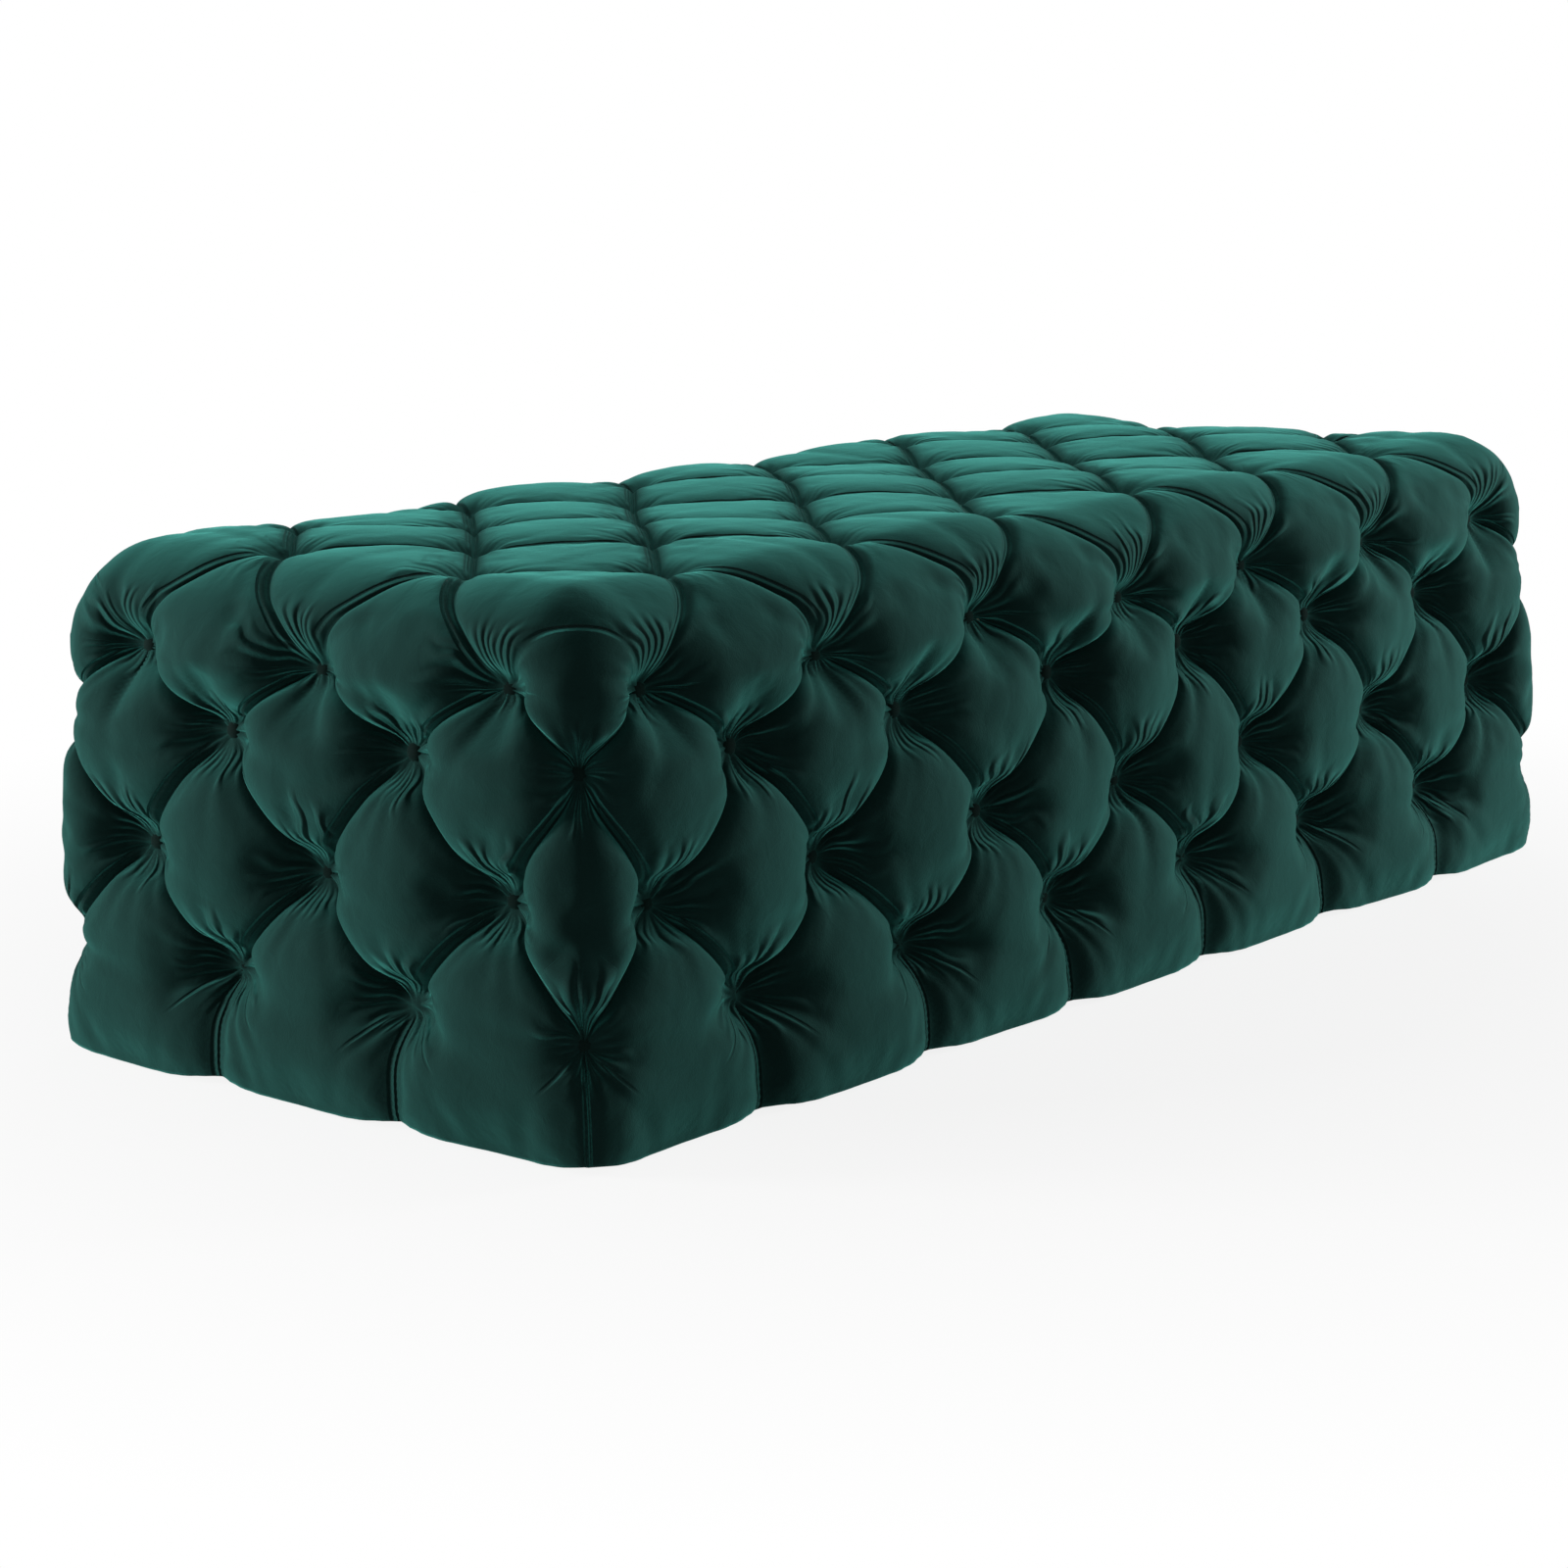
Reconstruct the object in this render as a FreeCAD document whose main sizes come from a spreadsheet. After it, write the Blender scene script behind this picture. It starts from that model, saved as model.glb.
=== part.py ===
import FreeCAD, Part
import math
import os
import re
from collections import namedtuple
from FreeCAD import Vector

# Deep-tufted velvet bench: a softwood crate, foam layers, a quilted cover and its buttons.
# Millimetres. The origin is at the centre of the footprint on the floor, X runs along the
# bench, the front long side faces -Y and Z is up.

doc = FreeCAD.newDocument("TuftedBench")
sheet = doc.addObject("Spreadsheet::Sheet", "Sizes")

# Driving dimensions: alias, value, meaning.
DIMENSIONS = [
    ("tuft_pitch", 218, "distance between neighbouring tufts of one row"),
    ("long_columns", 7, "tuft pitches along the length"),
    ("end_columns", 3, "tuft pitches across the width"),
    ("crown_overhang", 5, "how far the puffs stand out past the outer tuft pitch"),
    ("bench_height", 445, "floor to the crown of the seat puffs"),
    ("row_a_drop", 77, "crown of the seat to the highest row of side tufts"),
    ("row_b_drop", 65, "first to second row of side tufts"),
    ("row_c_drop", 108, "second to third row of side tufts"),
    ("row_d_drop", 96, "third to lowest row of side tufts"),
    ("tuft_depth", 40, "crown of a puff to the bottom of a tuft"),
    ("corner_tuft_depth", 30, "inset of a corner tuft from both faces"),
    ("pleat_depth", 13, "crown of a puff to the middle of a pleat"),
    ("under_tuft", 8, "filling left behind a tuft"),
    ("edge_round", 70, "rounding of the cover over the edges of the box"),
    ("puff_fullness", 2.5, "how early a puff reaches its height from the pleat"),
    ("hem_height", 9, "floor to the lower edge of the cover"),
    ("hem_depth", 8, "crown to the lower edge between two pleats"),
    ("hem_pleat_depth", 16, "crown to the foot of a hem pleat"),
    ("foam_side", 25, "foam on the four sides"),
    ("board_thickness", 22, "rails and slats of the sides"),
    ("slat_gap", 7, "gap between two boards of a side, where the twine passes"),
    ("post_side", 45, "square section of posts, bearers and cross rails"),
    ("post_offset", 272, "middle posts and bearers, from the middle of the length"),
    ("seat_slat_thickness", 12, "slats under the seat foam"),
    ("seat_slat_width", 50, "slats under the seat foam"),
    ("twine_side", 2.5, "tufting twine, as a square section"),
    ("twine_clearance", 1.25, "foam channel around the twine, on each side"),
    ("button_diameter", 19, "covered button"),
    ("button_height", 7, "covered button"),
    ("button_crown", 11, "flat of the covered button's crown"),
    ("dust_thickness", 1, "dust cover under the frame"),
    ("dust_overlap", 22, "dust cover past the foam, over the turned-in hem"),
    ("glide_diameter", 30, "glide under a post"),
    ("glide_edge", 3, "bevelled lower edge of a glide"),
]

# Lengths that follow from the driving dimensions.
DERIVED = {
    "cover_length": "long_columns * tuft_pitch + 2 * crown_overhang",
    "cover_width": "end_columns * tuft_pitch + 2 * crown_overhang",
    "quilt": "tuft_depth + under_tuft",
    "inner_length": "cover_length - 2 * quilt",
    "inner_width": "cover_width - 2 * quilt",
    "inner_top": "bench_height - quilt",
    "crate_length": "inner_length - 2 * foam_side",
    "crate_width": "inner_width - 2 * foam_side",
    "bay_length": "crate_length - 2 * board_thickness",
    "bay_width": "crate_width - 2 * board_thickness",
    "row_a_height": "bench_height - row_a_drop",
    "row_b_height": "row_a_height - row_b_drop",
    "row_c_height": "row_b_height - row_c_drop",
    "row_d_height": "row_c_height - row_d_drop",
    "crate_top": "row_a_height - twine_side / 2",
    "slat_b_top": "row_b_height - twine_side / 2",
    "slat_c_top": "row_c_height - twine_side / 2",
    "rail_d_top": "row_d_height - twine_side / 2",
    "seat_foam_bottom": "crate_top + seat_slat_thickness",
    "glide_height": "hem_height - dust_thickness",
    "corner_post_x": "bay_length / 2 - post_side",
    "post_y": "bay_width / 2 - post_side",
    "mid_post_x": "post_offset - post_side / 2",
}

for number, (alias, value, meaning) in enumerate(DIMENSIONS, start=1):
    sheet.set(f"A{number}", meaning)
    sheet.set(f"B{number}", str(value))
    sheet.setAlias(f"B{number}", alias)
doc.recompute()


def formula(text):
    """Write derived lengths and aliases out as an expression on the sheet."""
    def word(match):
        name = match.group(0)
        if name in DERIVED:
            return "(" + formula(DERIVED[name]) + ")"
        return "Sizes." + name
    return re.sub(r"[a-z][a-z_]*", word, text)


def size(text):
    """The value of a formula in millimetres."""
    return float(sheet.evalExpression(formula(text)))


def bind(obj, **formulas):
    for name, text in formulas.items():
        obj.setExpression(name.replace("_at_", "."), formula(text))


nodes = []


def node(obj, label):
    obj.Label = label
    nodes.append(obj)
    return obj


def block(name, along, across, tall, x, y, z):
    """A rectangular member whose sizes and place are formulas on the sheet."""
    obj = doc.addObject("Part::Box", name)
    bind(obj, Length=along, Width=across, Height=tall)
    bind(obj, Placement_at_Base_at_x=x, Placement_at_Base_at_y=y, Placement_at_Base_at_z=z)
    return obj


def shape_node(label, shape):
    obj = doc.addObject("Part::Feature", label)
    obj.Shape = shape
    return node(obj, label)


# The crate: boards on four sides, posts behind them, bearers and cross rails between.
BOARDS = [
    ("top_rail", "crate_top", "row_b_drop - slat_gap"),
    ("upper_slat", "slat_b_top", "row_c_drop - slat_gap"),
    ("lower_slat", "slat_c_top", "row_d_drop - slat_gap"),
    ("bottom_rail", "rail_d_top", "rail_d_top - hem_height"),
]

for board, top, tall in BOARDS:
    z = f"{top} - ({tall})"
    node(block("front_" + board, "crate_length", "board_thickness", tall,
               "-crate_length / 2", "-crate_width / 2", z), "front_" + board)
    node(block("rear_" + board, "crate_length", "board_thickness", tall,
               "-crate_length / 2", "crate_width / 2 - board_thickness", z), "rear_" + board)
    node(block("left_" + board, "board_thickness", "bay_width", tall,
               "-crate_length / 2", "-bay_width / 2", z), "left_" + board)
    node(block("right_" + board, "board_thickness", "bay_width", tall,
               "crate_length / 2 - board_thickness", "-bay_width / 2", z), "right_" + board)


POST_SPOTS = []
for side, y in (("front", "-bay_width / 2"), ("rear", "post_y")):
    for hand, x in (("left", "-bay_length / 2"), ("right", "corner_post_x")):
        label = f"{side}_{hand}_post"
        node(block(label, "post_side", "post_side", "crate_top - hem_height", x, y, "hem_height"), label)
        POST_SPOTS.append((x, y))
    for hand, x in (("left", "-mid_post_x - post_side"), ("right", "mid_post_x")):
        label = f"{side}_{hand}_mid_post"
        node(block(label, "post_side", "post_side", "crate_top - hem_height - post_side",
                   x, y, "hem_height"), label)
        POST_SPOTS.append((x, y))

for hand, x in (("left", "-mid_post_x - post_side"), ("right", "mid_post_x")):
    node(block(f"{hand}_seat_bearer", "post_side", "bay_width", "post_side",
               x, "-bay_width / 2", "crate_top - post_side"), f"{hand}_seat_bearer")
    node(block(f"{hand}_cross_rail", "post_side", "2 * post_y", "post_side",
               x, "-post_y", "hem_height"), f"{hand}_cross_rail")

# The tuft lattice. A tuft is a point at the bottom of its pit and the direction it faces.
Tuft = namedtuple("Tuft", "point normal")
Side = namedtuple("Side", "name along normal columns half_along half_normal")

PITCH = size("tuft_pitch")
LONG = round(size("long_columns"))
END = round(size("end_columns"))
HALF_LENGTH = size("cover_length") / 2
HALF_WIDTH = size("cover_width") / 2
TOP = size("bench_height")
DEPTH = size("tuft_depth")
CORNER_DEPTH = size("corner_tuft_depth")
PLEAT_DEPTH = size("pleat_depth")
ROUND = size("edge_round")
FULLNESS = size("puff_fullness")
HEM = size("hem_height")
UP = Vector(0, 0, 1)
ROWS = {row: size(f"row_{row}_height") for row in "abcd"}

# The sides in turn, seen from above and counter-clockwise, so one side ends where the next starts.
SIDES = [
    Side("front", Vector(1, 0, 0), Vector(0, -1, 0), LONG, HALF_LENGTH, HALF_WIDTH),
    Side("right", Vector(0, 1, 0), Vector(1, 0, 0), END, HALF_WIDTH, HALF_LENGTH),
    Side("rear", Vector(-1, 0, 0), Vector(0, 1, 0), LONG, HALF_LENGTH, HALF_WIDTH),
    Side("left", Vector(0, -1, 0), Vector(-1, 0, 0), END, HALF_WIDTH, HALF_LENGTH),
]


def side_point(side, column, height, depth, corner_depth):
    """A point of a side face by its tuft column, drawn in on both faces at a corner."""
    if column in (0, side.columns):
        sign = 1 if column else -1
        point = (side.along * (sign * (side.half_along - corner_depth))
                 + side.normal * (side.half_normal - corner_depth))
        normal = (side.normal + side.along * sign).normalize()
    else:
        point = (side.along * ((column - side.columns / 2) * PITCH)
                 + side.normal * (side.half_normal - depth))
        normal = Vector(side.normal)
    return Tuft(point + UP * height, normal)


def side_tuft(side, column, row):
    return side_point(side, column, ROWS[row], DEPTH, CORNER_DEPTH)


def hem_foot(side, column):
    foot = size("hem_pleat_depth")
    return side_point(side, column, HEM, foot, foot)


def seat_tuft(a, b):
    """A tuft of the seat by half pitches; on the rim it is a top-row tuft of that side."""
    if b == 0:
        return side_tuft(SIDES[0], a / 2, "a")
    if a == 2 * LONG:
        return side_tuft(SIDES[1], b / 2, "a")
    if b == 2 * END:
        return side_tuft(SIDES[2], LONG - a / 2, "a")
    if a == 0:
        return side_tuft(SIDES[3], END - b / 2, "a")
    return Tuft(Vector((a - LONG) * PITCH / 2, (b - END) * PITCH / 2, TOP - DEPTH), Vector(UP))


def outside(point, depth):
    """Signed distance from the rounded box that lies a given depth inside the crowns."""
    x = abs(point.x) - (HALF_LENGTH - depth - ROUND)
    y = abs(point.y) - (HALF_WIDTH - depth - ROUND)
    z = point.z - (TOP - depth - ROUND)
    beyond = math.sqrt(max(x, 0) ** 2 + max(y, 0) ** 2 + max(z, 0) ** 2)
    return beyond + min(max(x, y, z), 0) - ROUND


def reach(point, direction, depth):
    """How far a point moves along a direction to come out on that rounded box."""
    near, far = 0.0, 2 * PITCH
    if outside(point, depth) >= 0:
        return 0.0
    for _ in range(40):
        middle = (near + far) / 2
        if outside(point + direction * middle, depth) < 0:
            near = middle
        else:
            far = middle
    return near


def settle(point, direction):
    """Press a point that stands past the crowns back along its puff's direction."""
    near, far = 0.0, PITCH
    if outside(point, 0) <= 0:
        return point
    for _ in range(40):
        middle = (near + far) / 2
        if outside(point - direction * middle, 0) > 0:
            near = middle
        else:
            far = middle
    return point - direction * far


SEGMENTS = 4
pleats = {}


def key(point):
    return (round(point.x, 4), round(point.y, 4), round(point.z, 4))


def pleat(start, end, depth):
    """The fold from one tuft to the next, as the same points from either side of it."""
    pair = (key(start.point), key(end.point))
    if pair[::-1] in pleats:
        return pleats[pair[::-1]][::-1]
    if pair not in pleats:
        points = []
        for k in range(SEGMENTS + 1):
            share = k / SEGMENTS
            base = start.point * (1 - share) + end.point * share
            normal = (start.normal * (1 - share) + end.normal * share).normalize()
            rise = math.sin(math.pi * share) * reach(base, normal, depth)
            points.append(base + normal * rise)
        points[0] = start.point
        points[-1] = end.point
        pleats[pair] = points
    return pleats[pair]


def triangle(a, b, c):
    return Part.Face(Part.makePolygon([a, b, c, a]))


RINGS = (1 / 3, 2 / 3)
steepest = {}


def puff(tufts, hem_edge=None):
    """Facets of one puff: rings lofted from the pleats around it to its crown."""
    count = len(tufts)
    outline = []
    for k in range(count):
        depth = size("hem_depth") if k == hem_edge else PLEAT_DEPTH
        outline += pleat(tufts[k], tufts[(k + 1) % count], depth)[:-1]
    normal = Vector()
    middle = Vector()
    for tuft in tufts:
        normal += tuft.normal
        middle += tuft.point * (1 / count)
    normal.normalize()
    crown = middle + normal * reach(middle, normal, 0)
    rings = [outline]
    for share in RINGS:
        swell = (1 - share) - (1 - share) ** FULLNESS
        ring = [p + (crown - p) * share + normal * (normal.dot(crown - p) * swell) for p in outline]
        rings.append([settle(p, normal) for p in ring])
    faces = []
    total = len(outline)
    for outer, inner in zip(rings, rings[1:]):
        for k in range(total):
            n = (k + 1) % total
            faces.append(triangle(outer[k], outer[n], inner[n]))
            faces.append(triangle(outer[k], inner[n], inner[k]))
    last = rings[-1]
    faces += [triangle(last[k], last[(k + 1) % total], crown) for k in range(total)]
    for k, tuft in enumerate(tufts):
        at = k * SEGMENTS
        for flank in (rings[1][at], outline[at + 1], outline[at - 1]):
            rise = tuft.normal.dot(flank - tuft.point)
            run = (flank - tuft.point - tuft.normal * rise).Length
            spot = key(tuft.point)
            steepest[spot] = max(steepest.get(spot, 0), rise / max(run, 1))
    return faces


# The back of the quilt is a plain box; panels meet it along its edges.
BACK_LENGTH = size("inner_length") / 2
BACK_WIDTH = size("inner_width") / 2
BACK_TOP = size("inner_top")


def back_half(side):
    return BACK_LENGTH if side.columns == LONG and side.along.x else BACK_WIDTH


def back_edge(side, along, height):
    """A point on the quilt's back at the foot of a side's face."""
    half = back_half(side)
    other = BACK_WIDTH if half == BACK_LENGTH else BACK_LENGTH
    along = max(-half, min(half, along))
    return side.along * along + side.normal * other + UP * height


def chain(tufts):
    """Consecutive pleats as one line of points."""
    points = [tufts[0].point]
    for start, end in zip(tufts, tufts[1:]):
        points += pleat(start, end, PLEAT_DEPTH)[1:]
    return points


def distinct(points):
    kept = []
    for point in points:
        if not kept or (point - kept[-1]).Length > 1e-6:
            kept.append(point)
    return kept


def skirt(front, back):
    """The joint hidden in a pleat, from the fold in to the back of the quilt."""
    faces = []
    for k in range(len(front) - 1):
        faces.append(triangle(front[k], front[k + 1], back[k + 1]))
        if (back[k + 1] - back[k]).Length > 1e-6:
            faces.append(triangle(front[k], back[k + 1], back[k]))
    return faces


def rim_line(side):
    """The zigzag between a side's panel and the seat's, and its foot on the back."""
    tufts = [side_tuft(side, 0, "b")]
    index = SIDES.index(side)
    for column in range(side.columns):
        tufts.append(side_tuft(side, column + 0.5, "a"))
        if column < side.columns - 1:
            a, b = {
                0: (2 * column + 2, 1),
                1: (2 * LONG - 1, 2 * column + 2),
                2: (2 * (LONG - column) - 2, 2 * END - 1),
                3: (1, 2 * (END - column) - 2),
            }[index]
            tufts.append(seat_tuft(a, b))
    tufts.append(side_tuft(side, side.columns, "b"))
    front = chain(tufts)
    back = [back_edge(side, side.along.dot(p), BACK_TOP) for p in front]
    back[0] = back_edge(side, -2 * PITCH * LONG, BACK_TOP)
    back[-1] = back_edge(side, 2 * PITCH * LONG, BACK_TOP)
    return front, back


def corner_line(index):
    """The line down the corner where a side starts: round the corner puff on the short side."""
    side = SIDES[index]
    before = SIDES[index - 1]
    if side.columns == LONG:
        beside = side_tuft(before, before.columns - 0.5, "c")
    else:
        beside = side_tuft(side, 0.5, "c")
    tufts = [side_tuft(side, 0, "b"), beside, side_tuft(side, 0, "d"), hem_foot(side, 0)]
    front = chain(tufts)
    foot = -2 * PITCH * LONG
    back = [back_edge(side, foot, BACK_TOP)]
    back += [back_edge(side, foot, p.z) for p in front[1:]]
    return front, back


def panel(faces, flats):
    """Close the puffs, joints and flat faces of a panel into one solid."""
    for line in flats:
        line = distinct(line)
        faces.append(Part.Face(Part.makePolygon(line + [line[0]])))
    shell = Part.makeShell(faces)
    shell.sewShape()
    solid = Part.makeSolid(shell)
    if solid.Volume < 0:
        solid.reverse()
    return solid


rims = [rim_line(side) for side in SIDES]
corners = [corner_line(index) for index in range(4)]


def seat_panel():
    faces = []
    for a in range(1, 2 * LONG):
        for b in range(1, 2 * END):
            if (a + b) % 2:
                continue
            ring = [seat_tuft(a, b - 1), seat_tuft(a + 1, b), seat_tuft(a, b + 1), seat_tuft(a - 1, b)]
            spots = {(1, 1): (0, 0), (2 * LONG - 1, 1): (1, 1),
                     (2 * LONG - 1, 2 * END - 1): (2, 2), (1, 2 * END - 1): (3, 3)}
            if (a, b) in spots:
                index, gap = spots[(a, b)]
                ring.insert(gap, side_tuft(SIDES[index], 0, "b"))
            faces += puff(ring)
    floor = []
    for front, back in rims:
        faces += skirt(front, back)
        floor += back[:-1]
    return panel(faces, [floor])


def side_panel(index):
    side = SIDES[index]
    count = side.columns
    front, back = rims[index]
    seat_rim = {round(side.along.dot(p.point), 3): p for p in SEAT_RIM[index]}
    faces = skirt(front, back)
    for column in range(1, count):
        above = seat_rim[round((column - count / 2) * PITCH, 3)]
        faces += puff([side_tuft(side, column, "b"), side_tuft(side, column + 0.5, "a"),
                       above, side_tuft(side, column - 0.5, "a")])
        faces += puff([side_tuft(side, column, "d"), side_tuft(side, column + 0.5, "c"),
                       side_tuft(side, column, "b"), side_tuft(side, column - 0.5, "c")])
    hem = []
    for column in range(count):
        faces += puff([side_tuft(side, column + 0.5, "c"), side_tuft(side, column + 1, "b"),
                       side_tuft(side, column + 0.5, "a"), side_tuft(side, column, "b")])
        left, right = hem_foot(side, column), hem_foot(side, column + 1)
        faces += puff([left, right, side_tuft(side, column + 1, "d"),
                       side_tuft(side, column + 0.5, "c"), side_tuft(side, column, "d")], hem_edge=0)
        hem += pleat(left, right, size("hem_depth"))[:-1]
    hem.append(hem_foot(side, count).point)
    if count == LONG:
        after, before = SIDES[(index + 1) % 4], SIDES[index - 1]
        faces += puff([side_tuft(side, count, "d"), side_tuft(after, 0.5, "c"),
                       side_tuft(side, count, "b"), side_tuft(side, count - 0.5, "c")])
        faces += puff([side_tuft(side, 0, "d"), side_tuft(side, 0.5, "c"),
                       side_tuft(side, 0, "b"), side_tuft(before, before.columns - 0.5, "c")])
    near_front, near_back = corners[index]
    far_front, far_back = corners[(index + 1) % 4]
    faces += skirt(near_front, near_back)
    faces += skirt(far_front, far_back)
    inside = back + far_back[1:] + near_back[::-1]
    base = hem + [far_back[-1], near_back[-1]]
    return panel(faces, [inside[:-1], base])


SEAT_RIM = [
    [seat_tuft(a, 1) for a in range(2, 2 * LONG, 2)],
    [seat_tuft(2 * LONG - 1, b) for b in range(2, 2 * END, 2)],
    [seat_tuft(a, 2 * END - 1) for a in range(2, 2 * LONG, 2)],
    [seat_tuft(1, b) for b in range(2, 2 * END, 2)],
]

PANEL_NAMES = ["front", "right_end", "rear", "left_end"]
shape_node("seat_cover", seat_panel())
for index, name in enumerate(PANEL_NAMES):
    shape_node(name + "_cover", side_panel(index))

# Tufts by panel, for the twine and the buttons.
seat_tufts = [seat_tuft(a, b) for a in range(1, 2 * LONG) for b in range(1, 2 * END) if (a + b) % 2]
side_tufts = []
for side in SIDES:
    inner = [side_tuft(side, column, row) for row in "bd" for column in range(1, side.columns)]
    outer = [side_tuft(side, column + 0.5, row) for row in "ac" for column in range(side.columns)]
    side_tufts.append(inner + outer)
corner_tufts = [side_tuft(side, 0, row) for side in SIDES for row in "bd"]


def prism(start, direction, length, width):
    """A square prism along one of the axes, centred on its start."""
    half = width / 2
    across = [Vector(1, 0, 0), Vector(0, 1, 0), Vector(0, 0, 1)]
    across = [axis * half for axis in across if abs(axis.dot(direction)) < 0.5]
    points = [start + across[0] + across[1], start - across[0] + across[1],
              start - across[0] - across[1], start + across[0] - across[1]]
    return Part.Face(Part.makePolygon(points + [points[0]])).extrude(direction * length)


def strands(tufts, length, width):
    """Prisms from the back of the quilt straight in under each tuft."""
    gap = size("quilt") - DEPTH
    return Part.makeCompound([prism(t.point - t.normal * gap, t.normal * -1, length, width) for t in tufts])


TWINE = size("twine_side")
CHANNEL = size("twine_side + 2 * twine_clearance")
SEAT_STRAND = size("inner_top - crate_top")
SIDE_STRAND = size("foam_side + board_thickness")
shape_node("seat_twine", strands(seat_tufts, SEAT_STRAND, TWINE))
for tufts, name in zip(side_tufts, PANEL_NAMES):
    shape_node(name + "_twine", strands(tufts, SIDE_STRAND, TWINE))


# Foam: a slab on the seat, two long slabs and two end slabs between them, pierced for the twine.
def foam(label, along, across, tall, x, y, z, tufts):
    slab = Part.makeBox(size(along), size(across), size(tall), Vector(size(x), size(y), size(z)))
    shape_node(label, slab.cut(strands(tufts, 2 * PITCH, CHANNEL)))


SIDE_TALL = "seat_foam_bottom - hem_height"
foam("seat_foam", "inner_length", "inner_width", "inner_top - seat_foam_bottom",
     "-inner_length / 2", "-inner_width / 2", "seat_foam_bottom", seat_tufts)
foam("front_foam", "inner_length", "foam_side", SIDE_TALL,
     "-inner_length / 2", "-inner_width / 2", "hem_height", side_tufts[0])
foam("right_end_foam", "foam_side", "crate_width", SIDE_TALL,
     "crate_length / 2", "-crate_width / 2", "hem_height", side_tufts[1])
foam("rear_foam", "inner_length", "foam_side", SIDE_TALL,
     "-inner_length / 2", "crate_width / 2", "hem_height", side_tufts[2])
foam("left_end_foam", "foam_side", "crate_width", SIDE_TALL,
     "-inner_length / 2", "-crate_width / 2", "hem_height", side_tufts[3])

# Seat slats: one beside each row of seat tufts, on the side towards the middle.
slats = []
for b in range(1, 2 * END):
    row = (b - END) * PITCH / 2
    width = size("seat_slat_width")
    low = row - TWINE / 2 - width if row > 0 else row + TWINE / 2
    slats.append(Part.makeBox(size("crate_length"), width, size("seat_slat_thickness"),
                              Vector(-size("crate_length") / 2, low, size("crate_top"))))
shape_node("seat_slats", Part.makeCompound(slats))

# Covered buttons, each resting on the steepest flank of its pit.
BUTTON_SIDES = 8


def octagon(tuft, radius, height):
    first = tuft.normal.cross(UP) if abs(tuft.normal.z) < 0.5 else Vector(1, 0, 0)
    second = tuft.normal.cross(first)
    points = []
    for k in range(BUTTON_SIDES):
        angle = 2 * math.pi * (k + 0.5) / BUTTON_SIDES
        points.append(tuft.point + tuft.normal * height
                      + first * (radius * math.cos(angle)) + second * (radius * math.sin(angle)))
    return points


def button(tuft, radius, crown_radius, height):
    """A low covered button: an eight-sided rim that closes in to a flat crown."""
    seat = radius * steepest[key(tuft.point)]
    rim = octagon(tuft, radius, seat)
    crown = octagon(tuft, crown_radius, seat + height)
    outlines = [rim, crown]
    for k in range(BUTTON_SIDES):
        n = (k + 1) % BUTTON_SIDES
        outlines.append([rim[k], rim[n], crown[n], crown[k]])
    return panel([], outlines)


def buttons(label, tufts):
    measures = (size("button_diameter") / 2, size("button_crown") / 2, size("button_height"))
    shape_node(label, Part.makeCompound([button(tuft, *measures) for tuft in tufts]))


buttons("seat_buttons", seat_tufts)
for tufts, name in zip(side_tufts, PANEL_NAMES):
    buttons(name + "_buttons", tufts)
buttons("corner_buttons", corner_tufts)

# One glide: a disc with a bevelled lower edge, repeated under the posts.
bevel = doc.addObject("Part::Cone", "glide_bevel")
bind(bevel, Radius1="glide_diameter / 2 - glide_edge", Radius2="glide_diameter / 2", Height="glide_edge")
disc = doc.addObject("Part::Cylinder", "glide_disc")
bind(disc, Radius="glide_diameter / 2", Height="glide_height - glide_edge",
     Placement_at_Base_at_z="glide_edge")
glide = doc.addObject("Part::Fuse", "glide")
glide.Base = bevel
glide.Tool = disc
doc.recompute()
spots = [Vector(size(f"{x} + post_side / 2"), size(f"{y} + post_side / 2"), 0) for x, y in POST_SPOTS]
shape_node("glides", Part.makeCompound([glide.Shape.translated(spot) for spot in spots]))

# Dust cover under the frame, over the turned-in hem.
node(block("dust_cover", "inner_length + 2 * dust_overlap", "inner_width + 2 * dust_overlap",
           "dust_thickness", "-inner_length / 2 - dust_overlap", "-inner_width / 2 - dust_overlap",
           "glide_height"), "dust_cover")

doc.recompute()
os.makedirs("parts", exist_ok=True)
for obj in nodes + [glide]:
    if "Invalid" in obj.State or "Error" in obj.State:
        raise RuntimeError(f"{obj.Label}: {obj.State}")
    if obj.Shape.isNull() or not obj.Shape.isValid():
        raise RuntimeError(f"{obj.Label}: shape is null or not valid")
for obj in nodes:
    obj.Shape.exportStep(f"parts/{obj.Label}.step")
box = nodes[0].Shape.BoundBox
for obj in nodes:
    box.add(obj.Shape.BoundBox)
print(len(nodes), "nodes, box", round(box.XLength, 1), round(box.YLength, 1), round(box.ZLength, 1))
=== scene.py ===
"""Looks of a deep-tufted velvet bench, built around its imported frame."""

import math

import bmesh
import bpy
import numpy as np
from mathutils import Matrix, Vector
from mathutils.kdtree import KDTree


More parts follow.
